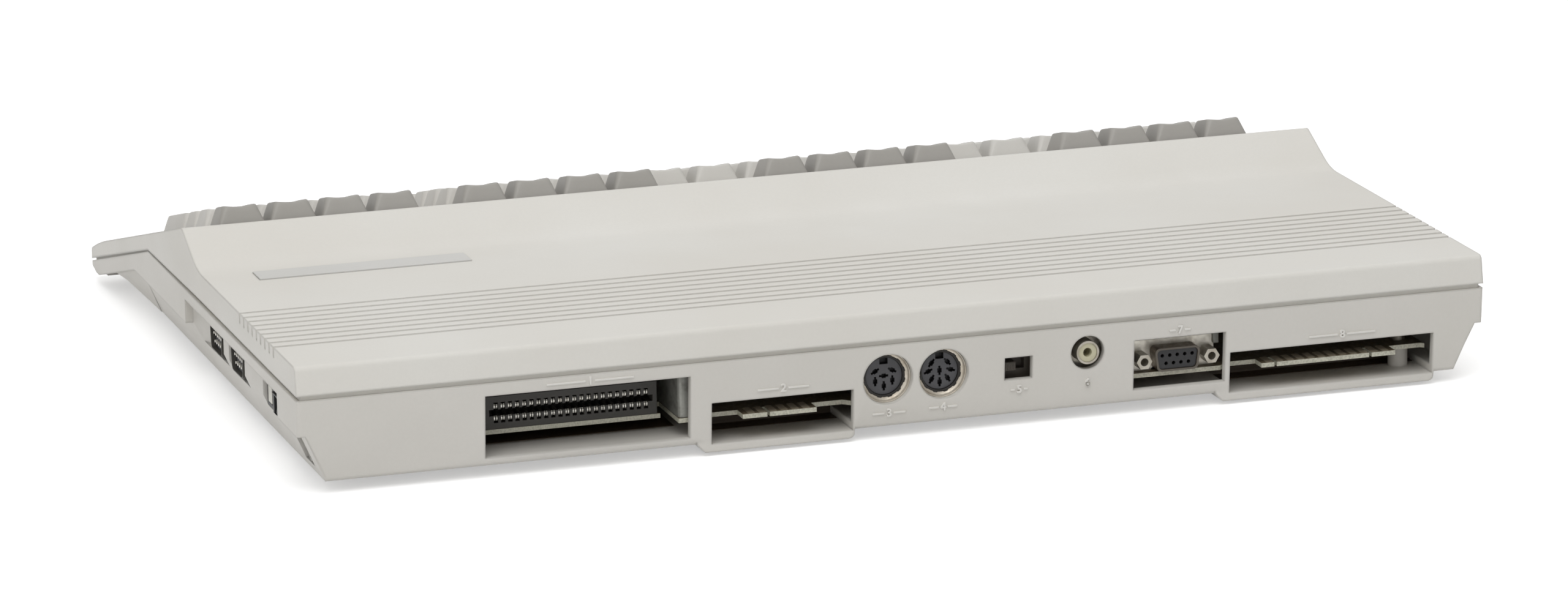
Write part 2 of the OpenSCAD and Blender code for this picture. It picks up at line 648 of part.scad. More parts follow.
// ---- keyboard ----
module keyboard_frame() {
    color([0.2, 0.2, 0.21]) on_slope() difference() {
        union() {
            translate([frame_left, frame_front, -frame_drop - frame_t])
                cube([frame_right - frame_left, -frame_front - 0.5, frame_t]);
            for (p = frame_posts) translate([p[0], p[1], -keyboard_drop])
                cylinder(r = 3, h = keyboard_drop - frame_drop - frame_t + 0.5);
        }
        for (p = stem_spots) translate([p[0], p[1], -frame_drop - frame_t - 1])
            cylinder(r = stem_r + stem_gap, h = frame_t + 2, $fn = 32);
        for (p = frame_spots) translate([p[0], p[1], -frame_drop - frame_t - 1])
            cylinder(r = frame_screw_r + fit_gap, h = frame_t + 2);
    }
}
// Stand-offs that carry the key board, clear of all stems.
frame_posts = [for (x = [frame_left + 12, -96.8, 17.5, pad_right - 10])
    for (y = [-(row_start + key_pitch + top_gap / 2), frame_front + 8]) [x, y]];
module keyboard_board() {
    color(board_green) on_slope()
        translate([frame_left + 2, frame_front + 2, -keyboard_drop - board_t])
        cube([frame_right - frame_left - 6, -frame_front - 5, board_t]);
}
module keyboard_screws() {
    color(metal) on_slope() for (p = frame_spots) translate([p[0], p[1], 0]) {
        translate([0, 0, -frame_drop - frame_t - 1.2]) cylinder(r = 2, h = 1.2);
        translate([0, 0, -frame_drop - frame_t - 0.01]) cylinder(r = frame_screw_r, h = frame_t + 2.5);
    }
}
module number_row_keys() { color(key_light) on_slope() main_keys(1, number_row); }
module upper_letter_keys() { color(key_light) on_slope() main_keys(2, upper_row); }
module home_letter_keys() { color(key_light) on_slope() main_keys(3, home_row); }
module lower_letter_keys() { color(key_light) on_slope() main_keys(4, lower_row); }
module space_bar() {
    color(key_light) on_slope() key(main_x(space_span), row_y(5), space_span[1], 1, 3);
}
module shift_lock_key() { color(key_light) on_slope() key(main_x(home_extra), row_y(3), home_extra[1]); }
module return_key() { color(key_light) on_slope() key(main_x(enter_line), row_y(3), enter_line[1]); }
module keypad_keys() {
    color(key_light) on_slope() for (k = keypad) key(pad_x(k[1], k[2]), row_y(k[0]), k[2]);
}
module enter_key() {
    color(key_light) on_slope() key(pad_x(0, 1), (row_y(3) + row_y(4)) / 2, 1, 2);
}

// ---- main board ----
board_post_r = 3.5;
board_screw_r = 1.4;
board_spots = [[-189.7, 18], [-114, 28], [-40, 60], [60, 60], [150, 44], [-180, board_front - 20],
    [100, board_front - 16], [-29.6, 12]];
tape_fingers = 6;
user_fingers = 12;
notch_side = 3;
notch_slot = 3.9;
tongue_side = 1.4;
tongue_shift = 0.7;
tape_tongue_x = tape_x + tongue_shift;
user_tongue_x = user_x + tongue_shift;
module tongue(x, count) {
    w = count * finger_pitch + 2 * tongue_side;
    block(x, w, tongue_back, notch_run + 1, board_z, board_top);
}
// A notch with slanted shoulders in the board's rear edge.
module board_notch(x, w) {
    slant = shoulder_run - board_back;
    translate([x, back_y, board_z - 1]) linear_extrude(board_t + 2) polygon([
        [w / 2, 1], [-w / 2, 1], [-w / 2, -board_back], [-w / 2 + slant, -shoulder_run],
        [w / 2 - slant, -shoulder_run], [w / 2, -board_back]]);
}
module main_board() {
    color(board_green) difference() {
        union() {
            difference() {
                block(0, board_w, board_back, board_front, board_z, board_top);
                block(expansion_x + 1 + notch_side / 2, expansion_w + 2 - notch_side, 0, notch_run,
                    board_z - 1, board_top + 1);
                block(expansion_x - expansion_w / 2 + notch_side + notch_slot / 2, notch_slot,
                    0, 2 * notch_run, board_z - 1, board_top + 1);
                for (o = [[tape_x, tape_w], [user_x, user_w]]) board_notch(o[0], o[1] + 4);
            }
            tongue(tape_tongue_x, tape_fingers);
            tongue(user_tongue_x, user_fingers);
        }
        // Key slots between two contacts of each tongue.
        for (k = [[tape_tongue_x, 1], [user_tongue_x, 5], [user_tongue_x, -4]])
            block(k[0] + k[1] * finger_pitch, 1, 0, tongue_back + 7, board_z - 1, board_top + 1);
        for (s = screw_spots) if (s[1] < board_front + boss_r)
            post(s[0], s[1], boss_r + 0.8, board_z - 1, board_top + 1);
        for (s = board_spots) post(s[0], s[1], board_screw_r + fit_gap, board_z - 1, board_top + 1);
        // The side sockets and the power switch reach past the board's edge.
        block(board_w / 2, 22, 4, 36, board_z - 1, board_top + 1);
    }
}
chips = [[-150, 70, 52, 14], [-150, 95, 52, 14], [-85, 70, 52, 14], [-85, 95, 52, 14], [30, 90, 52, 14],
    [30, 115, 36, 14], [95, 78, 52, 14], [95, 103, 52, 14], [-150, 120, 36, 14], [-85, 120, 52, 14]];
module board_chips() {
    color(black) for (c = chips) {
        block(c[0], c[2], c[1] - c[3] / 2, c[1] + c[3] / 2, board_top + 0.5, board_top + 4.5);
        for (s = [-1, 1]) for (i = [0:5])
            block(c[0] + (i - 2.5) * c[2] / 6.6, 1.2, c[1] + s * (c[3] / 2 + 0.4) - 0.5,
                c[1] + s * (c[3] / 2 + 0.4) + 0.5, board_top, board_top + 2.6);
    }
}
capacitors = [[-20, 40, 4, 12], [-8, 40, 4, 12], [60, 40, 5, 14], [76, 42, 5, 14], [-100, 48, 3.2, 8]];
module board_capacitors() {
    color([0.15, 0.2, 0.4]) for (c = capacitors) post(c[0], c[1], c[2], board_top, board_top + c[3]);
}
module board_screws() {
    color(metal) for (s = board_spots) {
        post(s[0], s[1], 2.6, board_top, board_top + 1.6);
        post(s[0], s[1], board_screw_r, board_z - 3.8, board_top + 0.1);
    }
}
module shield_cover() {
    t = 0.8;
    x0 = 12 - board_w / 2;
    x1 = board_w / 2 - 66;
    run0 = 58;
    run1 = board_front - 20;
    top = board_top + 9;
    color(metal) difference() {
        block((x0 + x1) / 2, x1 - x0, run0, run1, board_top, top);
        block((x0 + x1) / 2, x1 - x0 - 2 * t, run0 + t, run1 - t, board_top - 1, top - t);
        for (i = [0:9]) block(x0 + 30 + i * 26, 16, run0 + 8, run0 + 12, top - 2, top + 1);
        for (s = board_spots) post(s[0], s[1], 4, board_top - 1, top + 1);
        for (s = screw_spots) post(s[0], s[1], boss_r + 1, board_top - 1, top + 1);
    }
}

// ---- rear sockets ----
expansion_pins = 22;
module expansion_socket() {
    w = expansion_pins * socket_pitch + 5.2;
    mid = board_top + 5.8;
    color(black) difference() {
        block(expansion_x + 2.2, w, notch_run + 0.2, notch_run + 12, board_top, 2 * mid - board_top);
        block(expansion_x + 2.2, w - 3, 0, notch_run + 9, mid - 1.1, mid + 1.1);
        for (i = [0:expansion_pins - 1])
            block(expansion_x + 2.2 + (i - (expansion_pins - 1) / 2) * socket_pitch, 1.5, 0, notch_run + 8,
                mid - 3.6, mid + 3.6);
    }
}
din_face = 7;
din_insert_r = 6.6;
din_ring_r = 7.3;
din_flange_r = 9.2;
din_flange_run = 6.2;
// A round socket with its block on the board. Pins are [radius, angle] of each contact hole.
module din_socket(x, pins) {
    color([0.28, 0.28, 0.29]) difference() {
        union() {
            block(x, 18.6, din_face + 3, din_face + 16, board_top, din_z + 9.3);
            round_y(x, din_z, din_insert_r, din_face, din_face + 4);
        }
        for (p = pins) translate([x + p[0] * cos(p[1]), back_y - din_face + 1, din_z + p[0] * sin(p[1])])
            rotate([90, 0, 0]) cylinder(r = 0.75, h = 7, $fn = 24);
        block(x, 3, din_face - 1, din_face + 3, din_z + 4.9, din_z + 8);
    }
}
module din_ring(x) {
    color(metal) difference() {
        union() {
            round_y(x, din_z, din_ring_r, din_face - 0.4, din_face + 3);
            round_y(x, din_z, din_flange_r, din_flange_run, din_flange_run + 0.7);
        }
        round_y(x, din_z, din_insert_r + 0.05, din_face - 4, din_face + 4);
        block(x, 2 * din_flange_r, din_face - 4, din_face, 0, board_top + 0.1);
        for (a = [0:30:330]) translate([x, back_y - din_face + 0.4, din_z]) rotate([0, a, 0])
            translate([0, -0.3, din_ring_r]) cube([1.3, 1, 3], center = true);
    }
}
serial_pins = [for (a = [0, 60, 120, 180, 240]) [3.6, a - 30 - 180], [0, 0]];
video_pins = [for (a = [-225:45:45]) [4.1, a], [0, 0]];
module serial_socket() { din_socket(serial_x, serial_pins); }
module video_socket() { din_socket(video_x, video_pins); }
module serial_ring() { din_ring(serial_x); }
module video_ring() { din_ring(video_x); }

slider_travel = 2;
module channel_switch() {
    color(black) difference() {
        block(channel_x, 13, 8, 15, board_top, channel_mid + 4);
        block(channel_x, 8.6, 7, 11, channel_mid - 1.8, channel_mid + 1.8);
    }
}
module channel_slider() {
    color([0.3, 0.3, 0.3]) {
        block(channel_x + slider_travel, 4, 4.5, 10.9, channel_mid - 1.5, channel_mid + 1.5);
    }
}
can_run = 9;
aerial_core_r = 3.4;
module modulator_can() {
    color(metal) difference() {
        block(aerial_x, 26, can_run, 50, board_top, aerial_z + 8);
        for (i = [0:3]) round_y(aerial_x - 9 + i * 6, board_top + 4, 1.2, 48, 51);
        post(aerial_x, 30, 2, aerial_z + 7, aerial_z + 9);
    }
}
module aerial_jack() {
    color(metal) difference() {
        union() {
            round_y(aerial_x, aerial_z, 4.15, 0.6, can_run);
            round_y(aerial_x, aerial_z, 5.4, can_run - 1.2, can_run);
        }
        round_y(aerial_x, aerial_z, aerial_core_r, -1, can_run - 1);
    }
}
module aerial_core() {
    color([0.85, 0.84, 0.8]) difference() {
        round_y(aerial_x, aerial_z, aerial_core_r - 0.02, 1, can_run - 1.05);
        round_y(aerial_x, aerial_z, 1.6, -1, can_run - 2);
    }
}
// The outline of a nine-way socket's shell, wider along the top.
module d_outline(w, h, r = 1.8) {
    lean = h * tan(10) / 2;
    polygon(rounded([[w / 2 + lean / 2, h / 2, r], [-w / 2 - lean / 2, h / 2, r],
        [-w / 2 + lean, -h / 2, r], [w / 2 - lean, -h / 2, r]]));
}
monitor_z_mid = 18.2;
flange_run = 9.2;
shell_depth = 5.8;
screw_reach = 6.3;
module monitor_shell() {
    z = monitor_z_mid;
    color(metal) difference() {
        union() {
            block(monitor_x, 30.8, flange_run, flange_run + 1, board_top, z + 6.3);
            along(flange_run - shell_depth, flange_run + 0.1) translate([monitor_x, z]) d_outline(16.4, 8.4);
        }
        along(-2, flange_run + 2) translate([monitor_x, z]) d_outline(14.8, 7, 1.4);
        for (s = [-1, 1]) {
            round_y(monitor_x + s * jack_pitch / 2, z, 1.7, flange_run - 1, flange_run + 2);
            round_y(monitor_x + s * 7, board_top, 0.9, flange_run - 1, flange_run + 2);
        }
    }
}
module monitor_insert() {
    z = monitor_z_mid;
    color([0.3, 0.3, 0.31]) difference() {
        union() {
            along(flange_run - shell_depth + 0.5, flange_run + 3) translate([monitor_x, z])
                d_outline(14.6, 6.8, 1.3);
            block(monitor_x, 20, flange_run + 1, flange_run + 9, board_top, z + 5);
        }
        for (i = [0:4]) round_y(monitor_x + (i - 2) * 2.77, z + 1.42, 0.65, -1, flange_run - 0.6);
        for (i = [0:3]) round_y(monitor_x + (i - 1.5) * 2.77, z - 1.42, 0.65, -1, flange_run - 0.6);
    }
}
module jack_screws() {
    color(metal) for (s = [-1, 1]) difference() {
        union() {
            translate([monitor_x + s * jack_pitch / 2, back_y - flange_run + screw_reach, monitor_z_mid])
                rotate([90, 0, 0]) cylinder(r = 2.9, h = screw_reach, $fn = 6);
            round_y(monitor_x + s * jack_pitch / 2, monitor_z_mid, 1.6, flange_run - 0.1, flange_run + 4);
        }
        round_y(monitor_x + s * jack_pitch / 2, monitor_z_mid, jack_bore_r, 0, flange_run - 0.8);
    }
}

// ---- side sockets and switches ----
joy_face = channel_wall_x - 0.5;
joy_insert_x = joy_face - 1.5;
joy_flange_x = half_w - 11;
module d_side(w, h, r, x0, x1, run) {
    translate([x0, back_y - run, joy_z]) rotate([90, 0, 90]) linear_extrude(x1 - x0) d_outline(w, h, r);
}
module joystick_shells() {
    color(metal) for (i = [0, 1]) difference() {
        union() {
            block(joy_flange_x, 1, joy_run - i * joy_pitch - 15.4, joy_run - i * joy_pitch + 15.4,
                board_top, joy_z + 6.2);
            d_side(17.6, 9.2, 2, joy_flange_x, joy_face, joy_run - i * joy_pitch);
        }
        d_side(16.8, 8.4, 1.7, joy_flange_x - 2, joy_face + 1, joy_run - i * joy_pitch);
    }
}
module joystick_inserts() {
    color(black) for (i = [0, 1]) {
        d_side(16.6, 8.2, 1.6, joy_flange_x - 6, joy_insert_x, joy_run - i * joy_pitch);
        block(joy_flange_x - 5.4, 9, joy_run - i * joy_pitch - 9, joy_run - i * joy_pitch + 9,
            board_top, joy_z + 5);
    }
}
module joystick_pins() {
    color([0.85, 0.83, 0.75]) for (i = [0, 1]) {
        for (k = [0:4]) round_x(joy_run - i * joy_pitch + (k - 2) * 2.77, joy_z + 1.42, 0.5,
            joy_insert_x, joy_face - 0.5);
        for (k = [0:3]) round_x(joy_run - i * joy_pitch + (k - 1.5) * 2.77, joy_z - 1.42, 0.5,
            joy_insert_x, joy_face - 0.5);
    }
}
reset_run = switch_run + 8.4;
reset_travel = 1.5;
reset_face = half_w - 4;
module reset_switch() {
    color(black) difference() {
        union() {
            block(half_w - 14, 8, reset_run - 3.6, reset_run + 3.6, board_top, switch_z + 4.6);
            block(half_w - 7.2, 6, reset_run - 4.6, reset_run + 4.6, switch_z - 4.7, switch_z + 4.6);
        }
        block(half_w - 12, 6, reset_run - 1.6, reset_run + 1.6, switch_z - 1.6, switch_z + 1.6);
        block(half_w - 5, 8, reset_run - 3, reset_run + 3, switch_z - 3.4, switch_z + 3.4);
    }
}
module reset_button() {
    color([0.8, 0.79, 0.75]) {
        block(reset_face - 1.6, 3.2, reset_run - 2.6, reset_run + 2.6, switch_z - 3, switch_z + 3);
        block(reset_face - 5.8, 6, reset_run - 1.3, reset_run + 1.3, switch_z - 1.3, switch_z + 1.3);
    }
}
rocker_run = switch_run - 5.4;
rocker_len = 11.4;
rocker_x = half_w - 7.8;
rocker_tilt = 9;
rocker_r = 4.4;
module power_switch() {
    z = switch_z;
    color(black) difference() {
        union() {
            block(half_w - 17.6, 17, rocker_run - 7.4, rocker_run + 7.4, board_top, z + 6.6);
            block(half_w - 7, 7, rocker_run - 7.4, rocker_run + 7.4, z - 4.8, z + 4.7);
        }
        block(half_w - 7, 12, rocker_run - rocker_len / 2 - fit_gap, rocker_run + rocker_len / 2 + fit_gap,
            z - rocker_r - fit_gap, z + rocker_r + fit_gap);
        round_x(rocker_run - 30, z, 1, half_w - 30, half_w - 20);
    }
}
// A rocker in its "off" place: a shallow V of two faces over a round back.
module power_rocker() {
    color([0.24, 0.23, 0.22]) translate([rocker_x, back_y - rocker_run, switch_z]) rotate([0, rocker_tilt, 0])
        rotate([90, 0, 0]) linear_extrude(rocker_len, center = true)
        polygon(concat([[4.6, rocker_r - 0.6], [3, 0], [4.6, -rocker_r + 0.6]],
            [for (a = [-70:-20:-290]) [(rocker_r - 0.5) * cos(a), (rocker_r - 0.5) * sin(a)]]));
}
inlet_x = half_w - floor_in - 0.4;
inlet_r = 5;
module power_socket() {
    pin_r = 0.8;
    color(black) difference() {
        union() {
            block(inlet_x - 5.5, 11, inlet_run - 7, inlet_run + 7, inner_floor, inlet_z + 7);
            round_x(inlet_run, inlet_z, inlet_r, inlet_x - 0.1, inlet_x + 3.4);
        }
        round_x(inlet_run, inlet_z, inlet_r - 0.7, inlet_x - 1.5, inlet_x + 4);
        for (a = [0:60:300]) round_x(inlet_run + 2.7 * cos(a), inlet_z + 2.7 * sin(a), pin_r, inlet_x - 6, inlet_x);
    }
}

upper_case();
lower_case();
case_screws();
rubber_feet();
badge_plate();
power_lamp();
keyboard_frame();
keyboard_board();
keyboard_screws();
top_key(3, 3);  // escape_key
top_key(3, 2);  // tab_key
top_key(3, 1);  // alt_key
top_key(3, 0);  // caps_lock_key
top_key(2, 3);  // help_key
top_key(2, 2);  // line_feed_key
top_key(2, 1);  // display_key
top_key(2, 0);  // no_scroll_key
top_key(1, 3);  // cursor_up_key
top_key(1, 2);  // cursor_down_key
top_key(1, 1);  // cursor_left_key
top_key(1, 0);  // cursor_right_key
top_key(0, 3);  // f1_key
top_key(0, 2);  // f3_key
top_key(0, 1);  // f5_key
top_key(0, 0);  // f7_key
number_row_keys();
upper_letter_keys();
home_letter_keys();
lower_letter_keys();
space_bar();
shift_lock_key();
return_key();
keypad_keys();
enter_key();
main_board();
board_chips();
board_capacitors();
board_screws();
shield_cover();
expansion_socket();
serial_socket();
serial_ring();
video_socket();
video_ring();
channel_switch();
channel_slider();
modulator_can();
aerial_jack();
aerial_core();
monitor_shell();
monitor_insert();
jack_screws();
joystick_shells();
joystick_inserts();
joystick_pins();
reset_switch();
reset_button();
power_switch();
power_rocker();
power_socket();
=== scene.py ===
"""Studio scene of a flat home computer with a built-in keyboard.

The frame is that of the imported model: +Z up, +Y to the back, +X to the right of someone at the
keys. Sizes are in millimetres and become metres where a mesh is made. A "run" is a distance forward
from the back of the case.
"""

import logging
import math
from dataclasses import dataclass, field
from enum import Enum
from typing import Any, Dict, List, Optional, Sequence, Tuple

import bmesh
import bpy
import numpy as np
from mathutils import Matrix, Vector

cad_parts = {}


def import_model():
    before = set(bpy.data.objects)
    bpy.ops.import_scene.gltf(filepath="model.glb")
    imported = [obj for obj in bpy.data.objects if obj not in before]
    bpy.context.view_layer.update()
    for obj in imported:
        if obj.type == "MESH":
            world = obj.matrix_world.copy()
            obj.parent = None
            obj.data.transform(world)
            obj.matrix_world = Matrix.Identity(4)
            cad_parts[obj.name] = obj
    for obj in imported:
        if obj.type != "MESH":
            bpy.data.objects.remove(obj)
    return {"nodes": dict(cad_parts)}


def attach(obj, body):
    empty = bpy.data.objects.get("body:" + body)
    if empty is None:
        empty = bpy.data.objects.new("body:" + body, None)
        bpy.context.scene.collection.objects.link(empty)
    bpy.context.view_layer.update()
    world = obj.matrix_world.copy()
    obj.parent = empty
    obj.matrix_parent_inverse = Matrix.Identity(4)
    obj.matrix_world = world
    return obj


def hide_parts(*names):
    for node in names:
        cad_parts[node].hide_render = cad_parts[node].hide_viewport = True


LOG = logging.getLogger("home_computer")
MM = 0.001
BACK = 165.0

Array = np.ndarray
Colour = Tuple[float, float, float]
Pair = Tuple[float, float]
Triple = Tuple[float, float, float]
Quad = Tuple[float, float, float, float]
Material = bpy.types.Material
Piece = bpy.types.Object


def linear(colour: Colour) -> Quad:
    """Turns a display colour into the linear values that the shaders take.

    Args:
        colour: red, green and blue from 0 to 255.

    Returns:
        The linear colour with an alpha of 1.
    """
    c = np.asarray(colour, float) / 255.0
    r, g, b = np.where(c <= 0.04045, c / 12.92, ((c + 0.055) / 1.055) ** 2.4)
    return (float(r), float(g), float(b), 1.0)


# ---------------------------------------------------------------- finishes


class Grain(Enum):
    """How a moulded surface breaks up light: the grain's depth in metres and its bumps per metre."""

    FINE = (0.00003, 2600.0)
    SATIN = (0.000012, 3600.0)
    SMOOTH = (0.000004, 1500.0)


class NodeTree:
    """A node tree, with short calls to add and join nodes."""

    def __init__(self, owner: Any) -> None:
        """Starts the tree of a material or a world with nothing in it."""
        owner.use_nodes = True
        self.tree = owner.node_tree
        self.tree.nodes.clear()

    def join(self, source: Any, target: Any) -> None:
        """Links an output socket to an input socket."""
        self.tree.links.new(source, target)

    def put(self, kind: str, settings: Optional[Dict[str, Any]] = None,
            places: Optional[Dict[int, Any]] = None, **named: Any) -> Any:
        """Adds a node.

        Args:
            kind: the node's type name, without the beginning that all of them share.
            settings: properties to set on the node.
            places: a value or a socket for inputs by their number.
            named: the same for inputs by their name, with spaces as underscores.

        Returns:
            The new node.
        """
        node = self.tree.nodes.new("ShaderNode" + kind)
        for key, value in (settings or {}).items():
            setattr(node, key, value)
        by_name = {key.replace("_", " "): value for key, value in named.items()}
        for key, value in {**(places or {}), **by_name}.items():
            if isinstance(value, bpy.types.NodeSocket):
                self.join(value, node.inputs[key])
            else:
                node.inputs[key].default_value = value
        return node


class Shade(NodeTree):
    """A material's node tree round one principled shader."""

    def __init__(self, name: str) -> None:
        """Starts a material with only an output and a principled shader."""
        self.material = bpy.data.materials.new(name)
        super().__init__(self.material)
        self.shader = self.put("BsdfPrincipled")
        self.output = self.put("OutputMaterial", Surface=self.shader.outputs["BSDF"])
        self.coords = self.put("TexCoord").outputs["Object"]

    def feed(self, name: str, source: Any) -> None:
        """Links an output socket to one of the principled shader's inputs."""
        self.join(source, self.shader.inputs[name])

    def noise(self, scale: float, detail: float = 2.0, stretch: Optional[Triple] = None) -> Any:
        """Noise on the object's own coordinates.

        Args:
            scale: bumps per metre.
            detail: octaves.
            stretch: factors on the three axes, for brushed or streaked surfaces.

        Returns:
            The noise node's factor socket.
        """
        vector = self.coords
        if stretch:
            vector = self.put("Mapping", Vector=vector, Scale=stretch).outputs["Vector"]
        node = self.put("TexNoise", Vector=vector, Scale=scale, Detail=detail, Roughness=0.55)
        return node.outputs["Fac"]

    def span(self, value: Any, low: float, high: float, start: float = 0.35, end: float = 0.65) -> Any:
        """Spreads a factor from start..end over low..high and returns the new socket."""
        ends = {"From_Min": start, "From_Max": end, "To_Min": low, "To_Max": high}
        return self.put("MapRange", Value=value, **ends).outputs["Result"]

    def mix(self, factor: Any, first: Any, second: Any) -> Any:
        """Mixes two colours by a factor and returns the colour socket."""
        return self.put("Mix", {"data_type": "RGBA"}, {0: factor, 6: first, 7: second}).outputs[2]

    def relief(self, height: Any, depth: float, strength: float, under: Any = None) -> Any:
        """Bump from a height socket.

        Args:
            height: the height, from 0 to 1.
            depth: what 1 stands for, in metres.
            strength: how much of it shows.
            under: a normal that the bump rides on.

        Returns:
            The normal socket.
        """
        ride = {} if under is None else {"Normal": under}
        return self.put("Bump", Height=height, Distance=depth, Strength=strength, **ride).outputs["Normal"]

    def soft_edges(self, radius: float) -> Any:
        """A normal that rounds every edge by the radius, as a mould does."""
        return self.put("Bevel", {"samples": 4}, Radius=radius).outputs["Normal"]

    def shine(self, **values: Any) -> Material:
        """Sets plain values on the principled shader's own sockets and returns the material."""
        for key, value in values.items():
            self.shader.inputs[key.replace("_", " ")].default_value = value
        return self.material


@dataclass(frozen=True)
class MouldedPlastic:
    """Moulded plastic with a fine grain, faint mottling and rounded mould edges."""

    name: str
    colour: Colour
    tint: Colour
    roughness: float = 0.55
    grain: Grain = Grain.FINE
    edge: float = 0.0002

    # bumps per metre of the slow drift, the speckle and the wear
    drift: float = 9.0
    speckle: float = 900.0
    wear: float = 40.0

    def make(self) -> Material:
        """Builds the material.

        Returns:
            A material whose colour drifts between colour and tint over some centimetres, with a
            speckle of half a millimetre and a grain that depends on the mould.
        """
        s = Shade(self.name)
        drift = s.span(s.noise(self.drift, 3.0), 0.0, 1.0)
        base = s.mix(drift, linear(self.colour), linear(self.tint))
        speck = s.span(s.noise(self.speckle, 1.0), 0.0, 0.05)
        s.feed("Base Color", s.mix(speck, base, linear(tuple(0.9 * c for c in self.tint))))
        wear = s.noise(self.wear, 4.0)
        s.feed("Roughness", s.span(wear, self.roughness - 0.05, self.roughness + 0.06))
        depth, scale = self.grain.value
        edges = s.soft_edges(self.edge) if self.edge > 0 else None
        s.feed("Normal", s.relief(s.noise(scale), depth, 0.5, edges))
        return s.shine(Specular_IOR_Level=0.42)


@dataclass(frozen=True)
class PlatedMetal:
    """Plated sheet or turned metal, dull or bright, with fine scratches and stains."""

    name: str
    colour: Colour
    stain: Colour
    roughness: float = 0.35
    metallic: float = 1.0
    brush: Triple = (1.0, 1.0, 1.0)
    edge: float = 0.00015

    # bumps per metre of the stains and scratches, and how deep a scratch is
    spots: float = 260.0
    scratches: float = 700.0
    scratch: float = 0.00001

    def make(self) -> Material:
        """Builds the material.

        Returns:
            A metal whose colour is stained over some millimetres and whose roughness follows scratches
            stretched by brush.
        """
        s = Shade(self.name)
        spots = s.span(s.noise(self.spots, 4.0), 0.0, 0.7, 0.45, 0.75)
        s.feed("Base Color", s.mix(spots, linear(self.colour), linear(self.stain)))
        lines = s.noise(self.scratches, 3.0, self.brush)
        s.feed("Roughness", s.span(lines, self.roughness - 0.08, self.roughness + 0.12))
        s.feed("Normal", s.relief(lines, self.scratch, 0.4, s.soft_edges(self.edge)))
        return s.shine(Metallic=self.metallic)


@dataclass(frozen=True)
class CircuitBoard:
    """Lacquered laminate with faint tracks and a paler sawn edge."""

    name: str = "board_laminate"
    lacquer: Colour = (100, 88, 70)
    track: Colour = (118, 106, 84)
    sawn: Colour = (192, 190, 174)
    crumb: Colour = (116, 114, 100)

    # bricks and bumps per metre, and how far a track stands proud
    tracks: float = 120.0
    speckle: float = 1500.0
    wear: float = 500.0
    proud: float = 0.00004

    def make(self) -> Material:
        """Builds the material.

        Returns:
            A laminate with tracks from a brick pattern on the top and bottom, and speckled sawn edges
            where the surface stands upright.
        """
        s = Shade(self.name)
        bricks = s.put("TexBrick", Vector=s.coords, Scale=self.tracks, Mortar_Size=0.02).outputs["Fac"]
        tracks = s.mix(s.span(bricks, 0.0, 1.0, 0.2, 0.8), linear(self.lacquer), linear(self.track))
        speckle = s.span(s.noise(self.speckle), 0.0, 0.5, 0.4, 0.7)
        sawn = s.mix(speckle, linear(self.sawn), linear(self.crumb))
        normal = s.put("NewGeometry").outputs["True Normal"]
        up = s.put("SeparateXYZ", Vector=normal).outputs["Z"]
        flat = s.put("Math", {"operation": "ABSOLUTE"}, Value=up).outputs["Value"]
        s.feed("Base Color", s.mix(flat, sawn, tracks))
        s.feed("Roughness", s.span(s.noise(self.wear), 0.4, 0.6))
        s.feed("Normal", s.relief(bricks, self.proud, 0.5))
        return s.material


@dataclass(frozen=True)
class Rubber:
    """Matt grey rubber with a fine tooth."""

    name: str = "foot_rubber"
    colour: Colour = (124, 120, 114)
    worn: Colour = (112, 108, 102)
    patches: float = 300.0
    tooth: float = 1800.0
    tooth_depth: float = 0.00006

    def make(self) -> Material:
        """Builds the material and returns it."""
        s = Shade(self.name)
        patches = s.span(s.noise(self.patches), 0.0, 1.0)
        s.feed("Base Color", s.mix(patches, linear(self.colour), linear(self.worn)))
        s.feed("Normal", s.relief(s.noise(self.tooth, 3.0), self.tooth_depth, 0.6))
        return s.shine(Roughness=0.85)


@dataclass(frozen=True)
class LampLens:
    """Clear red plastic over an unlit lamp."""

    name: str = "lamp_lens"
    colour: Colour = (150, 32, 26)
    deep: Colour = (112, 20, 18)
    clouds: float = 400.0

    def make(self) -> Material:
        """Builds the material and returns it."""
        s = Shade(self.name)
        clouds = s.span(s.noise(self.clouds), 0.0, 1.0)
        s.feed("Base Color", s.mix(clouds, linear(self.colour), linear(self.deep)))
        return s.shine(Roughness=0.18, Coat_Weight=0.4)


@dataclass(frozen=True)
class StudioSurface:
    """A pale floor that shows as white and keeps the object's shadow."""

    name: str = "studio_floor"
    colour: Colour = (235, 235, 235)
    lift: float = 0.42

    def make(self) -> Material:
        """Builds the material.

        Returns:
            A pale matt surface. Seen straight or in a reflection it gets a lift towards white, which
            lights nothing.
        """
        s = Shade(self.name)
        rays = s.put("LightPath").outputs
        most = {"operation": "MAXIMUM"}
        one = s.put("Math", most, {0: rays["Is Camera Ray"], 1: rays["Is Glossy Ray"]})
        two = s.put("Math", most, {0: one.outputs[0], 1: rays["Is Transmission Ray"]})
        scaled = s.put("Math", {"operation": "MULTIPLY"}, {0: two.outputs[0], 1: self.lift})
        glow = s.put("Emission", Strength=scaled.outputs[0])
        both = s.put("AddShader", None, {0: s.shader.outputs["BSDF"], 1: glow.outputs[0]})
        s.join(both.outputs[0], s.output.inputs["Surface"])
        return s.shine(Base_Color=linear(self.colour), Roughness=0.9, Specular_IOR_Level=0.1)


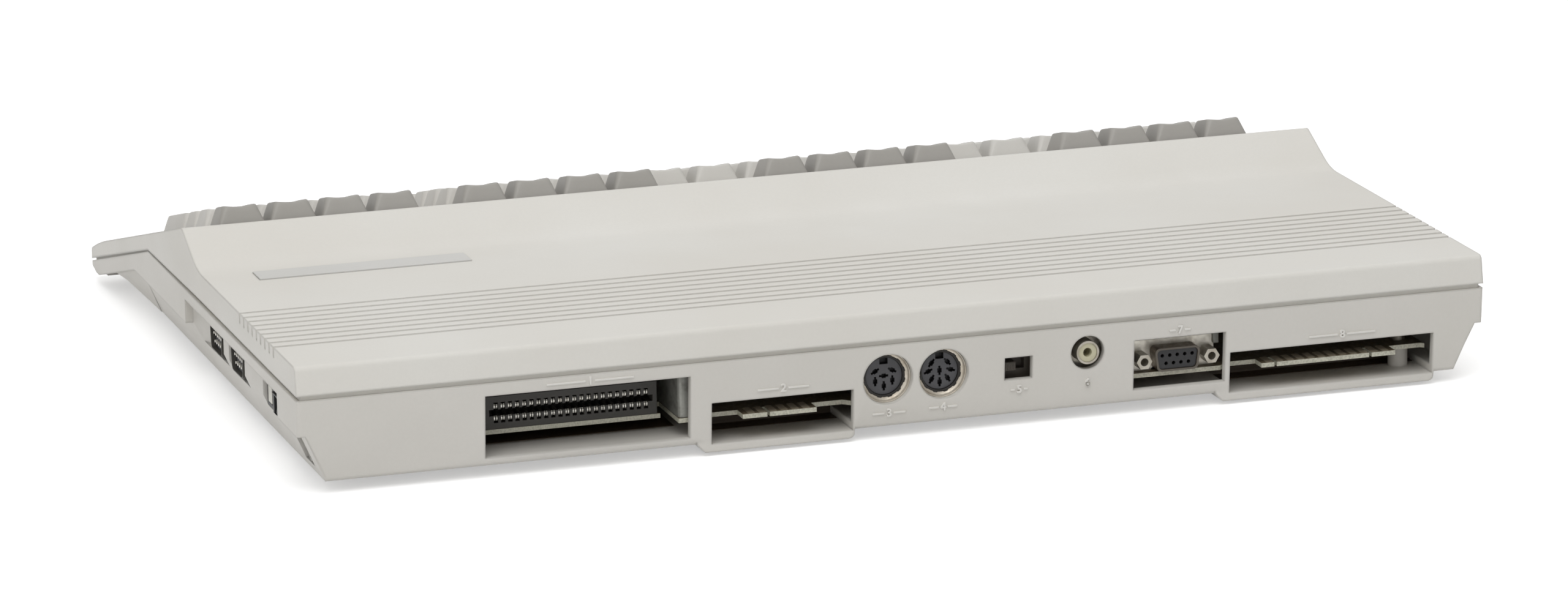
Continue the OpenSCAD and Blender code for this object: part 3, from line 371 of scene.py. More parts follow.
SATIN = {"roughness": 0.5, "grain": Grain.SATIN}
GLOSS = {"roughness": 0.45, "grain": Grain.SATIN}
FINISHES: Dict[str, Any] = {
    "upper": MouldedPlastic("case_upper", (217, 215, 209), (213, 210, 203), edge=0.0012),
    "lower": MouldedPlastic("case_lower", (211, 208, 202), (206, 203, 196), edge=0.0012),
    "light_key": MouldedPlastic("key_light", (205, 203, 198), (200, 197, 191), edge=0.0, **SATIN),
    "dark_key": MouldedPlastic("key_dark", (165, 162, 157), (159, 156, 150), edge=0.0, **SATIN),
    "badge": MouldedPlastic("badge", (205, 204, 201), (199, 198, 194), 0.38, Grain.SMOOTH, 0.0003),
    "black": MouldedPlastic("socket_black", (42, 42, 43), (34, 34, 35), **GLOSS),
    "dark": MouldedPlastic("socket_dark", (82, 80, 75), (74, 72, 67), **SATIN),
    "grey": MouldedPlastic("socket_grey", (86, 86, 89), (77, 77, 80), **GLOSS),
    "pale": MouldedPlastic("insulator_pale", (222, 220, 211), (214, 211, 200), 0.5, Grain.SMOOTH),
    "core": MouldedPlastic("insulator_core", (196, 192, 166), (184, 179, 150), 0.4, Grain.SMOOTH),
    "shield": MouldedPlastic("band_dark", (40, 37, 34), (32, 30, 27), edge=0.0001, **GLOSS),
    "collar": PlatedMetal("collar_plated", (214, 206, 192), (160, 146, 124), 0.4, 0.5),
    "nickel": PlatedMetal("shell_nickel", (122, 110, 96), (90, 79, 67), 0.36, 0.75),
    # a real sheet under the board, made dark brown as painted shade deep in the trays
    "foil": MouldedPlastic("foil_with_painted_shade", (86, 74, 60), (66, 56, 44), 0.35, Grain.SMOOTH, 0.0),
    "dull_tin": PlatedMetal("shield_tin", (150, 150, 144), (100, 99, 92), 0.5, 0.5),
    "socket": MouldedPlastic("edge_socket", (62, 60, 56), (54, 52, 48), **SATIN),
    "brown": MouldedPlastic("switch_brown", (92, 86, 77), (78, 72, 64), **GLOSS),
    "inlet": MouldedPlastic("inlet_grey", (166, 163, 156), (156, 153, 146), **SATIN),
    "mark": MouldedPlastic("raised_mark_painted_highlight", (220, 218, 213), (216, 213, 207), 0.45, Grain.SMOOTH),
    # the marks are moulded in the case's own colour; this lighter finish is a painted highlight
    "chip": MouldedPlastic("chip_black", (30, 30, 31), (25, 25, 26), 0.6, edge=0.0),
    "sleeve": MouldedPlastic("capacitor_sleeve", (40, 52, 92), (34, 44, 80), 0.3, Grain.SMOOTH, 0.0),
    "tin": PlatedMetal("tinned_sheet", (200, 196, 186), (158, 150, 136), 0.42),
    "steel": PlatedMetal("plated_steel", (172, 167, 156), (132, 124, 110), 0.36, 0.8),
    # real plated contacts, made near-white and barely metallic: a painted glint, so they look bright in the
    # dark socket
    "contact": PlatedMetal("contact_painted_glint", (240, 237, 228), (214, 208, 194), 0.3, 0.35),
    "finger": PlatedMetal("contact_finger", (190, 178, 156), (158, 144, 122), 0.4, 0.4, (1.0, 6.0, 1.0)),
    "board": CircuitBoard(),
    "rubber": Rubber(),
    "lens": LampLens(),
}
WORN_BY: Dict[str, Tuple[str, ...]] = {
    "upper": ("upper_case",),
    "lower": ("lower_case",),
    "badge": ("badge_plate",),
    "lens": ("power_lamp",),
    "rubber": ("rubber_feet",),
    "black": ("keyboard_frame", "joystick_inserts", "reset_switch", "power_switch", "power_rocker",
              "monitor_insert"),
    "dark": ("joystick_shells",),
    "brown": ("channel_switch", "channel_slider"),
    "socket": ("expansion_socket",),
    "inlet": ("power_socket",),
    "grey": ("serial_socket", "video_socket"),
    "shield": ("serial_ring", "video_ring"),
    "pale": ("reset_button",),
    "core": ("aerial_core",),
    "tin": ("shield_cover", "modulator_can", "monitor_shell"),
    "steel": ("case_screws", "keyboard_screws", "board_screws", "aerial_jack", "jack_screws"),
    "contact": ("joystick_pins",),
    "board": ("main_board", "keyboard_board"),
    "chip": ("board_chips",),
    "sleeve": ("board_capacitors",),
}


class Finishes:
    """All finishes of the computer, made once and looked up by name."""

    def __init__(self) -> None:
        """Makes each material from its finish."""
        self.made = {name: finish.make() for name, finish in FINISHES.items()}

    def __getitem__(self, name: str) -> Material:
        """The material of that name."""
        return self.made[name]

    def dress(self, nodes: Dict[str, Piece]) -> None:
        """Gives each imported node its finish.

        Args:
            nodes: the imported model's objects by name.

        Raises:
            ValueError: if a node is left without a finish.
        """
        for finish, names in WORN_BY.items():
            for name in names:
                give(nodes[name], self[finish])
        for name, node in nodes.items():
            if not node.data.materials or node.data.materials[0].name not in bpy.data.materials:
                raise ValueError(f"{name} has no finish")


# ---------------------------------------------------------------- pieces


def give(piece: Piece, material: Material) -> None:
    """Puts one material on the whole of a piece."""
    piece.data.materials.clear()
    piece.data.materials.append(material)


def link(name: str, data: Any) -> Piece:
    """Adds an object with its data to the scene, at the origin."""
    made = bpy.data.objects.new(name, data)
    bpy.context.scene.collection.objects.link(made)
    return made


def seat(piece: Piece, body: str = "housing", node: str = "") -> None:
    """Says which body a piece rides on and what it stands for.

    Args:
        piece: the piece.
        body: the body that carries it.
        node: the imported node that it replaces, if any.
    """
    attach(piece, body)
    if node:
        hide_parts(node)


def recalc(piece: Piece) -> Piece:
    """Turns all faces of a closed piece outwards and returns it."""
    bm = bmesh.new()
    bm.from_mesh(piece.data)
    bmesh.ops.recalc_face_normals(bm, faces=bm.faces)
    bm.to_mesh(piece.data)
    bm.free()
    return piece


def add_mesh(name: str, verts: Array, faces: Array, material: Material,
             smooth: bool = False, more: Sequence[Sequence[int]] = ()) -> Piece:
    """Makes a piece from arrays.

    Args:
        name: the piece's name.
        verts: points, N by 3, in millimetres.
        faces: corner numbers, M by 4.
        material: its finish.
        smooth: whether its shading is smooth.
        more: further faces with any number of corners.

    Returns:
        The new object, at the origin.
    """
    mesh = bpy.data.meshes.new(name)
    points = (verts.reshape(-1, 3) * MM).tolist()
    mesh.from_pydata(points, [], faces.tolist() + [list(f) for f in more])
    mesh.polygons.foreach_set("use_smooth", np.full(len(mesh.polygons), smooth))
    mesh.materials.append(material)
    mesh.validate()
    return link(name, mesh)


def ring(hx: Array, y_low: Array, y_high: Array, r: Array, arc: int = 5, side: int = 6) -> Array:
    """Rounded rectangles as rings of points, anticlockwise.

    Each quarter goes round a corner's arc, centre + r (cos t, sin t), and then along the straight
    side to the next arc, cut into equal steps.

    Args:
        hx: half widths, any shape.
        y_low: lower edges, same shape.
        y_high: upper edges, same shape.
        r: corner radii, same shape.
        arc: steps in a corner's arc.
        side: steps along a straight side.

    Returns:
        Points of the shape given, then 4 * (arc + side), then 2.
    """
    t = np.linspace(0.0, math.pi / 2, arc + 1)
    quarters = []
    for k in range(4):
        a = t + k * math.pi / 2
        cx = (1.0 if k in (0, 3) else -1.0) * (hx - r)
        cy = np.where(k in (0, 1), y_high - r, y_low + r)
        quarters.append(np.stack([cx[..., None] + r[..., None] * np.cos(a),
                                  cy[..., None] + r[..., None] * np.sin(a)], -1))
    rows = []
    steps = np.arange(1, side)[:, None] / side
    for k in range(4):
        start = quarters[k][..., -1:, :]
        end = quarters[(k + 1) % 4][..., :1, :]
        rows += [quarters[k], start + (end - start) * steps]
    return np.concatenate(rows, -2)


def loft_faces(copies: int, rings: int, points: int, first: int = 0) -> Array:
    """Quads between neighbouring rings of several lofts.

    Args:
        copies: number of lofts.
        rings: rings in each.
        points: points in each ring.
        first: number of the first point.

    Returns:
        Corner numbers, with faces outwards for anticlockwise rings that go up.
    """
    base = first + np.arange(copies)[:, None, None] * rings * points
    row = base + np.arange(rings - 1)[None, :, None] * points
    here = np.arange(points)[None, None, :]
    there = (here + 1) % points
    return np.stack([row + here, row + there, row + points + there, row + points + here], -1).reshape(-1, 4)


def lofted(name: str, stacks: Sequence[Array], material: Material, smooth: bool = False) -> Piece:
    """Makes a piece of closed lofts, each with a flat face at either end.

    Args:
        name: the piece's name.
        stacks: arrays of lofts by rings by points by 3, in millimetres.
        material: its finish.
        smooth: whether its shading is smooth.

    Returns:
        The new object, at the origin.
    """
    first, sides, ends = 0, [], []
    for stack in stacks:
        copies, rings, points = stack.shape[:3]
        size = rings * points
        starts = range(first, first + copies * size, size)
        sides.append(loft_faces(copies, rings, points, first))
        ends += [range(s + points - 1, s - 1, -1) for s in starts]
        ends += [range(s + size - points, s + size) for s in starts]
        first += copies * size
    verts = np.concatenate([stack.reshape(-1, 3) for stack in stacks])
    return add_mesh(name, verts, np.concatenate(sides), material, smooth, ends)


def slabs(name: str, centres: Array, size: Triple, soft: float, material: Material) -> Piece:
    """Small rounded slabs at several places.

    Each is a stack of rounded rectangles whose inset and height follow a quarter circle of radius
    soft at both ends.

    Args:
        name: the piece's name.
        centres: K by 3 middles, in millimetres.
        size: full sizes along the axes.
        soft: radius of the edges.
        material: finish.

    Returns:
        The new object.
    """
    a = np.radians([0.0, 45.0, 90.0])
    falling, growing = soft * (1 - np.sin(a)), soft * (1 - np.cos(a))
    inset = np.concatenate([falling, growing])
    lift = np.concatenate([-size[2] / 2 + growing, size[2] / 2 - falling])
    hx = size[0] / 2 - inset
    hy = size[1] / 2 - inset
    flat = ring(hx, -hy, hy, np.full_like(hx, min(hx.min(), hy.min()) * 0.45), 2, 1)
    one = np.concatenate([flat, np.broadcast_to(lift[:, None, None], flat.shape[:-1] + (1,))], -1)
    return lofted(name, [centres[:, None, None, :] + one[None]], material)


def behind(x: Any, run: Any, z: Any) -> Array:
    """Points from their places across, runs and heights, in the model's frame and in millimetres."""
    return np.stack(np.broadcast_arrays(x, BACK - np.asarray(run, float), z), -1)


def spread(count: int, pitch: float) -> Array:
    """Places of several things at one pitch about 0."""
    return (np.arange(count) - (count - 1) / 2) * pitch


# ---------------------------------------------------------------- case


@dataclass
class Skin:
    """A smooth-shaded copy of a packed shell, with its upright rear corners rounded.

    With lip set, the shell's front lip droops and its lower edge comes down on the seam.
    """

    node: str
    angle: float = 40.0
    corner: float = 2.2
    corner_x: float = 203.0
    corner_run: float = 4.0
    corner_height: float = 6.0
    corner_angle: float = 60.0
    steps: int = 5
    weld: float = 0.002
    flat: float = 0.3
    lip: bool = False
    cuts: Tuple[int, ...] = (*range(152, 300, 8), *range(303, 330, 3))
    edge_end: Pair = (330.0, 9.27)
    edge_slope: float = 0.26235
    edge_near: float = 0.35
    side_x: float = 214.5
    front_run: float = 329.6
    seam_top: float = 35.9
    close: float = 1.0
    close_run: Pair = (150.0, 226.0)
    droop: float = 1.7
    droop_run: Pair = (302.0, 330.0)
    droop_height: float = 4.0

    def corners(self, bm: bmesh.types.BMesh) -> List[bmesh.types.BMEdge]:
        """Finds the shell's long, steep and sharp edges at its two rear corners."""
        found = []
        for edge in bm.edges:
            a, b = (Vector(v.co) / MM for v in edge.verts)
            outside = min(abs(a.x), abs(b.x)) > self.corner_x
            rear = max(BACK - a.y, BACK - b.y) < self.corner_run
            sharp = edge.calc_face_angle(0.0) > math.radians(self.corner_angle)
            if outside and rear and sharp and abs(a.z - b.z) > self.corner_height:
                found.append(edge)
        return found

    def ease(self, mesh: bpy.types.Mesh) -> None:
        """Lets the front lip droop and closes the seam under the slope.

        With h the height over the shell's lower edge, points at h = 0 on the outside sink by
        close * s, where s goes from 0 to 1 over close_run, and points above the edge sink by
        droop * t^2 * min(1, h / droop_height), where t goes from 0 to 1 over droop_run.
        """
        flat = np.empty(len(mesh.vertices) * 3)
        mesh.vertices.foreach_get("co", flat)
        points = flat.reshape(-1, 3)
        x, run, z = np.abs(points[:, 0]) / MM, BACK - points[:, 1] / MM, points[:, 2] / MM
        over = z - np.minimum(self.seam_top, self.edge_end[1] + (self.edge_end[0] - run) * self.edge_slope)
        spans = (self.close_run, self.droop_run)
        s, t = (np.clip((run - start) / (end - start), 0.0, 1.0) for start, end in spans)
        outside = (np.abs(over) < self.edge_near) & ((x > self.side_x) | (run > self.front_run))
        sink = outside * self.close * s
        fall = self.droop * t ** 2 * np.clip(over / self.droop_height, 0.0, 1.0)
        points[:, 2] -= MM * (sink + fall)
        mesh.vertices.foreach_set("co", points.reshape(-1))
        mesh.update()

    def build(self, source: Piece, material: Material) -> None:
        """Copies the node's mesh, merges it, rounds its corners and shades it smooth below an angle.

        Args:
            source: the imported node, which the new piece replaces.
            material: its finish.
        """
        mesh = source.data.copy()
        mesh.name = self.node + "_skin"
        bm = bmesh.new()
        bm.from_mesh(mesh)
        bmesh.ops.remove_doubles(bm, verts=bm.verts, dist=self.weld * MM)
        bmesh.ops.dissolve_limit(bm, angle_limit=math.radians(self.flat), verts=bm.verts, edges=bm.edges)
        bmesh.ops.bevel(bm, geom=self.corners(bm), offset=self.corner * MM, offset_type="OFFSET",
                        segments=self.steps, profile=0.5, affect="EDGES", clamp_overlap=True)
        for run in self.cuts if self.lip else ():
            bmesh.ops.bisect_plane(bm, geom=bm.verts[:] + bm.edges[:] + bm.faces[:], dist=self.weld * MM / 2,
                                   plane_co=(0.0, (BACK - run) * MM, 0.0), plane_no=(0.0, 1.0, 0.0))
        bmesh.ops.triangulate(bm, faces=bm.faces)
        for edge in bm.edges:
            edge.smooth = len(edge.link_faces) == 2 and edge.calc_face_angle(0.0) < math.radians(self.angle)
        for face in bm.faces:
            face.smooth = True
        bm.to_mesh(mesh)
        bm.free()
        if self.lip:
            self.ease(mesh)
        work = link(mesh.name, mesh)
        work.modifiers.new("even_shading", "WEIGHTED_NORMAL").keep_sharp = True
        give(work, material)
        seat(work, node=self.node)
        LOG.info("%s dressed", self.node)


# ---------------------------------------------------------------- keyboard


@dataclass
class Slope:
    """The keyboard's plane."""

    angle: float = 14.7
    run: float = 169.988
    height: float = 56.0

    def place(self, points: Array) -> Array:
        """Turns points about X by the slope's angle and moves them to the ridge.

        Args:
            points: any shape by 3, in the slope's frame.

        Returns:
            The same points in the model's frame.
        """
        a = math.radians(self.angle)
        turn = np.array([[1, 0, 0], [0, math.cos(a), -math.sin(a)], [0, math.sin(a), math.cos(a)]])
        return points @ turn.T + np.array([0.0, BACK - self.run, self.height])


@dataclass
class Keyboard:
    """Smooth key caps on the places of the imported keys."""

    pitch: float = 19.05
    gap: float = 0.7
    pad_right: float = 201.3
    main_right: float = 111.3
    row_start: float = 3.6
    top_gap: float = 7.0
    rise: float = 6.9
    drop: float = 2.4
    side: float = 3.1
    back: float = 1.6
    front: float = 2.88
    foot_r: float = 0.8
    shoulder_r: float = 2.1
    dish_r: float = 26.0
    dish: float = 0.9
    bulge: float = 0.5
    fillet: float = 0.7
    long: float = 4.0
    stem_r: float = 2.5
    stem_low: float = -10.8
    stem_bite: float = 0.2
    stem_sides: int = 16
    stem_spread: float = 2.8
    slope: Slope = field(default_factory=Slope)

    # shares of a cap's height below its shoulder, steps round it, and how far its top's rings close in
    levels: Tuple[float, ...] = (0.0, 0.04, 0.4, 0.75)
    bends: int = 5
    closing: Tuple[float, ...] = (0.12, 0.35, 0.6, 0.85, 0.999)
    round_share: float = 0.98

    def row(self, r: int) -> float:
        """The middle of a row, along the slope."""
        return -(self.row_start + (self.top_gap if r > 0 else 0.0) + self.pitch * (r + 0.5))

    def main(self, first: float, units: float, r: int) -> Quad:
        """A key of the main block as its middle and its units wide and deep."""
        return (self.main_right - self.pitch * (first + units / 2), self.row(r), units, 1.0)

    def pad(self, first: float, units: float, r: int, deep: float = 1.0) -> Quad:
        """A key of the keypad as its middle and its units wide and deep."""
        y = (self.row(r) + self.row(r + 1)) / 2 if deep > 1 else self.row(r)
        return (self.pad_right - self.pitch * (first + units / 2), y, units, deep)

    def layout(self) -> Dict[str, List[Quad]]:
        """Every node of the keyboard and its keys.

        Returns:
            Node names with their keys, each a middle and its units wide and deep.
        """
        top = ("cursor_right", "cursor_left", "cursor_down", "cursor_up", "no_scroll", "display",
               "line_feed", "help", "caps_lock", "alt", "tab", "escape")
        out = {name + "_key": [self.main((i // 4) * 6 + i % 4, 1, 0)] for i, name in enumerate(top)}
        out.update({f"f{7 - 2 * i}_key": [self.pad(i, 1, 0)] for i in range(4)})
        out["number_row_keys"] = [self.main(i, 1, 1) for i in range(16)]
        out["upper_letter_keys"] = [self.main(0, 1.5, 2), self.main(14.5, 1.5, 2)]
        out["upper_letter_keys"] += [self.main(1.5 + i, 1, 2) for i in range(13)]
        out["home_letter_keys"] = [self.main(2.25 + i, 1, 3) for i in range(11)]
        out["home_letter_keys"] += [self.main(14.75, 1.25, 3)]
        out["shift_lock_key"] = [self.main(13.25, 1.5, 3)]
        out["return_key"] = [self.main(0, 2.25, 3)]
        out["lower_letter_keys"] = [self.main(i, u, 4) for i, u in ((0, 1), (1, 1), (2, 2), (14, 2))]
        out["lower_letter_keys"] += [self.main(4 + i, 1, 4) for i in range(10)]
        out["space_bar"] = [self.main(4, 9, 5)]
        out["keypad_keys"] = [self.pad(i, 1, r) for r in (1, 2) for i in range(4)]
        out["keypad_keys"] += [self.pad(i, 1, 3) for i in (1, 2, 3)]
        out["keypad_keys"] += [self.pad(1, 1, 4), self.pad(2, 2, 4)]
        out["enter_key"] = [self.pad(0, 1, 3, 2)]
        return out

    def caps(self, keys: Array) -> Array:
        """Cap surfaces of several keys.

        A cap is a stack of rounded rectangles. From foot to shoulder they shrink in a straight line
        by the draft, then follow a quarter circle of radius fillet, and then shrink to the middle.
        The top is a hollow cylinder along the key, z = -dish + R - sqrt(R^2 - x^2), and each ring
        takes a share of it that grows with its height. A space bar bulges by a parabola instead.

        Args:
            keys: K by 4, a middle and the units wide and deep.

        Returns:
            Points, K by rings by points by 3, in the slope's frame.
        """
        x, y, u, v = (keys[:, i][:, None] for i in range(4))
        w = self.pitch * u - self.gap
        d = self.pitch * v - self.gap
        h = self.rise + self.drop
        arc = np.linspace(0, math.pi / 2, self.bends)
        below, top = np.zeros(len(self.levels)), np.ones(len(self.closing))
        shoulder = 1 - self.fillet / h + np.sin(arc) * self.fillet / h
        s = np.concatenate([self.levels, shoulder, top])[None]
        inset = self.fillet * np.concatenate([below, 1 - np.cos(arc), top])[None]
        keep = 1 - np.concatenate([below, 0 * arc, self.closing])[None]
        low = -d / 2 + self.front * s + inset
        high = d / 2 - self.back * s - inset
        mid = (low + high) / 2
        hx = (w / 2 - self.side * s - inset) * keep
        low, high = mid + (low - mid) * keep, mid + (high - mid) * keep
        r = (self.foot_r + (self.shoulder_r - self.foot_r) * s) * keep
        r = np.minimum(r, np.minimum(hx, (high - low) / 2) * self.round_share)
        flat = ring(hx, low, high, r)
        big = self.dish_r * u[..., None]
        px = flat[..., 0]
        hollow = -self.dish + big - np.sqrt(np.maximum(big ** 2 - px ** 2, 0))
        bulge = -self.bulge * (2 * flat[..., 1] / d[..., None]) ** 2
        form = np.where(u[..., None] < self.long, np.minimum(hollow, 0.0), bulge)
        z = -self.drop + s[..., None] * (h + form)
        return np.stack([px + x[..., None], flat[..., 1] + y[..., None], z], -1)

    def stems(self, keys: Array) -> Array:
        """Round stems below the caps, three for a long key: two rings of radius stem_r for each stem."""
        aside = np.array([self.stem_spread * self.pitch, 0.0])
        wide = keys[keys[:, 2] > self.long, :2]
        spots = np.concatenate([keys[:, :2], wide - aside, wide + aside])
        t = np.arange(self.stem_sides) * 2 * math.pi / self.stem_sides
        circle = np.stack([np.cos(t), np.sin(t)], -1) * self.stem_r
        shape = (len(spots), 2, self.stem_sides)
        flat = np.broadcast_to(spots[:, None, None, :] + circle[None, None], shape + (2,))
        tall = np.array([self.stem_low, -self.drop + self.stem_bite])[None, :, None, None]
        return np.concatenate([flat, np.broadcast_to(tall, shape + (1,))], -1)

    def build(self, finishes: Finishes) -> None:
        """Builds a piece for each node of keys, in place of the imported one."""
        for node, keys in self.layout().items():
            dark = len(keys) == 1 and node not in ("space_bar", "shift_lock_key", "return_key", "enter_key")
            colour = "dark_key" if dark else "light_key"
            stacks = [self.slope.place(part(np.array(keys, float))) for part in (self.caps, self.stems)]
            piece = lofted(node + "_caps", stacks, finishes[colour], True)
            seat(piece, node, node)
            LOG.info("%s: %d keys", node, len(keys))


# ---------------------------------------------------------------- sockets


@dataclass
class Contacts:
    """Contact fingers on the board's tongues and the spring contacts in the expansion socket."""

    finger_pitch: float = 3.96
    finger: Triple = (2.6, 7.6, 0.08)
    finger_soft: float = 0.02
    finger_proud: float = 0.03
    finger_run: float = 7.6
    board_low: float = 12.0
    board_top: float = 13.6
    tongues: Tuple[Tuple[str, float, int], ...] = (("tape_fingers", 44.3, 6), ("user_fingers", -157.7, 12))
    socket_x: float = 115.25
    socket_mid: float = 19.4
    socket_pitch: float = 2.54
    socket_run: float = 15.2
    socket_count: int = 22
    leaf_split: float = 0.42
    leaf_half: Pair = (0.25, 0.13)

    # a leaf's path as runs behind the socket's face and lifts from its middle
    leaf_runs: Tuple[float, ...] = (0.75, 0.5, 0.55, 0.95, 1.8, 4.0, 7.6)
    leaf_lifts: Tuple[float, ...] = (2.85, 2.35, 1.75, 1.38, 1.6, 2.3, 3.0)

    def fingers(self, name: str, x: float, count: int, material: Material) -> None:
        """Plated fingers on both faces of a tongue.

        Args:
            name: the start of the pieces' names.
            x: middle of the tongue.
            count: fingers on each face.
            material: finish.
        """
        faces = (("top", self.board_top + self.finger_proud), ("under", self.board_low - self.finger_proud))
        for face, z in faces:
            centres = behind(x + spread(count, self.finger_pitch), self.finger_run, z)
            seat(slabs(f"{name}_{face}", centres, self.finger, self.finger_soft, material))

    def leaves(self, material: Material) -> None:
        """Split leaf contacts in two rows.

        Each leaf is a flat profile carried along a path that comes from the back of the socket, bends
        towards the slot and turns away again behind the face. The profile leans with the path by its
        normal, (-dl, dr) / |(dl, dr)|, with dr and dl the steps of the run and the lift.
        """
        runs, lifts = np.array(self.leaf_runs), np.array(self.leaf_lifts)
        columns = self.socket_x + spread(self.socket_count, self.socket_pitch)
        x = np.tile((columns[:, None] + np.array([-self.leaf_split, self.leaf_split])[None]).reshape(-1), 2)
        sign = np.repeat([1.0, -1.0], len(x) // 2)
        step = np.stack([-np.gradient(lifts), np.gradient(runs)], -1)
        lean = step / np.hypot(step[:, 0], step[:, 1])[:, None]
        side = np.array([[-1, -1], [1, -1], [1, 1], [-1, 1]]) * np.array(self.leaf_half)
        run = self.socket_run + runs[None, :, None] + lean[None, :, None, 0] * side[None, None, :, 1]
        up = lifts[None, :, None] + lean[None, :, None, 1] * side[None, None, :, 1]
        verts = behind(x[:, None, None] + side[None, None, :, 0], run,
                       self.socket_mid + sign[:, None, None] * up)
        seat(recalc(lofted("expansion_contacts", [verts], material)))

    def build(self, finishes: Finishes) -> None:
        """Builds all contacts."""
        for name, x, count in self.tongues:
            self.fingers(name, x, count, finishes["finger"])
        # the leaves' near-white finish paints their glints
        self.leaves(finishes["contact"])
        LOG.info("contacts built")


@dataclass
class RoundSockets:
    """The serial and video sockets.

    Each has an insert with forked contact slots whose walls are black as painted shade, a toothed band and a
    bright collar.
    """

    serial_x: float = 5.65
    video_x: float = -14.65
    height: float = 21.6
    face_run: float = 6.2
    back_run: float = 9.0
    insert_r: float = 6.6
    slot: Pair = (3.3, 0.75)
    throat: float = 1.55
    deep: float = 2.2
    clear: float = 1.0
    key: Triple = (3.0, 4.2, 7.4)
    block: Triple = (18.6, 13.8, 17.2)
    block_at: Pair = (16.1, 22.3)
    block_soft: float = 0.4
    points: int = 96
    teeth: int = 12
    tooth: float = 0.85
    tooth_share: float = 0.17

    # each contact as radius, angle and the angle of its slot, seen from behind the computer
    serial: Tuple[Triple, ...] = (
        (3.6, 150, 31), (3.6, 210, 90), (3.6, 270, 90), (3.6, 330, 90), (3.6, 30, -28), (0.0, 0, 0))
    video: Tuple[Triple, ...] = (
        (4.1, 135, 52), (4.1, 180, 25), (4.1, 225, 60), (4.1, 270, 90), (4.1, 315, -57), (4.1, 0, -19),
        (4.1, 45, -46), (0.0, 0, 90))

    # closed profiles of radius and run; the band's first three points carry the teeth
    band: Tuple[Pair, ...] = ((7.35, 6.9), (7.35, 5.5), (7.2, 5.35), (6.8, 5.35), (6.65, 5.5), (6.65, 6.9))
    collar: Tuple[Pair, ...] = ((8.95, 5.75), (8.95, 3.9), (8.8, 3.8), (8.65, 4.0), (8.5, 4.6), (8.15, 5.1),
                                (7.6, 5.4), (7.4, 5.5), (7.4, 5.75))

    def circle(self) -> Array:
        """Angles of the points round a socket."""
        return np.arange(self.points) * 2 * math.pi / self.points

    def prisms(self, name: str, x: float, outlines: Array, runs: Pair,
               material: Material) -> Piece:
        """Closed prisms with their axes along Y, as one piece.

        Args:
            name: the piece's name.
            x: middle of the socket.
            outlines: K by N by 2 points, across and up as seen from behind the computer.
            runs: where they start and end.
            material: finish.

        Returns:
            The new piece.
        """
        verts = behind(x - outlines[:, None, :, 0], np.array(runs)[None, :, None],
                       self.height + outlines[:, None, :, 1])
        return recalc(lofted(name, [verts], material))

    def crosses(self, contacts: Sequence[Triple]) -> Array:
        """Outlines of the contact slots: a long thin bar and a short square as one cross.

        Args:
            contacts: radius, angle and slot angle of each contact.

        Returns:
            K by 12 by 2 points; each cross is turned by its own angle and stands at r (cos a, sin a).
        """
        data = np.array(contacts, float)
        a, b = np.radians(data[:, 1]), np.radians(data[:, 2])
        long, thin, wide = self.slot[0] / 2, self.slot[1] / 2, self.throat / 2
        half = ((long, -thin), (long, thin), (wide, thin), (wide, wide), (-wide, wide), (-wide, thin))
        cross = np.concatenate([half, -np.array(half)])
        turn = np.stack([np.cos(b), -np.sin(b), np.sin(b), np.cos(b)], -1).reshape(-1, 2, 2)
        spot = data[:, :1] * np.stack([np.cos(a), np.sin(a)], -1)
        return np.einsum("kij,nj->kni", turn, cross) + spot[:, None]

    def insert(self, node: str, x: float, contacts: Sequence[Triple], finishes: Finishes) -> None:
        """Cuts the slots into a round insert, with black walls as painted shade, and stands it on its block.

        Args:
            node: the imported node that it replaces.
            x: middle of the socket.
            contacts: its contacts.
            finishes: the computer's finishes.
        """
        t = self.circle()
        disc = np.stack([np.cos(t), np.sin(t)], -1)[None] * self.insert_r
        wide, low, high = self.key
        key = np.array([[[-wide / 2, low], [wide / 2, low], [wide / 2, high], [-wide / 2, high]]])
        cut = (self.face_run - self.clear, self.face_run + self.deep)
        shapes = ((disc, (self.face_run, self.back_run)), (self.crosses(contacts), cut), (key, cut))
        made = []
        for k, (outlines, runs) in enumerate(shapes):
            piece = self.prisms(f"{node}_blank_{k}", x, outlines, runs, finishes["grey"])
            # the walls that the cutters leave take the black finish: painted shade in the deep slots and the
            # key notch
            piece.data.materials.append(finishes["black"])
            piece.data.polygons.foreach_set("material_index", np.full(len(piece.data.polygons), min(k, 1)))
            made.append(piece)
        for cutter in made[1:]:
            slots = made[0].modifiers.new("slots", "BOOLEAN")
            slots.operation = "DIFFERENCE"
            slots.solver = "EXACT"
            slots.object = cutter
        bpy.context.view_layer.update()
        mesh = bpy.data.meshes.new_from_object(made[0].evaluated_get(bpy.context.evaluated_depsgraph_get()))
        for old in made:
            bpy.data.objects.remove(old)
        seat(link(node + "_insert", mesh), node=node)
        at = behind([x], *self.block_at)
        block = slabs(node + "_block", at, self.block, self.block_soft, finishes["grey"])
        seat(block, node=node)

    def lathe(self, name: str, x: float, profile: Array, teeth: int, material: Material) -> Piece:
        """A closed profile of radius and run turned about the socket's axis.

        The radius at an angle is the profile's radius, plus the tooth's height inside tooth_share of
        each pitch on either side of its middle.

        Args:
            name: the piece's name.
            x: middle of the socket.
            profile: N by 2, radius and run.
            teeth: how many of the profile's first points carry teeth.
            material: finish.

        Returns:
            The new piece.
        """
        t = self.circle()
        rise = self.tooth * (np.arange(len(profile)) < teeth)
        inside = np.abs((t * self.teeth / (2 * math.pi)) % 1 - 0.5) < self.tooth_share
        radius = profile[:, :1] + rise[:, None] * inside[None]
        verts = behind(x - radius * np.cos(t), profile[:, 1:], self.height + radius * np.sin(t))
        rings = len(profile)
        faces = loft_faces(1, rings + 1, self.points) % (rings * self.points)
        return recalc(add_mesh(name, verts, faces, material, teeth == 0))

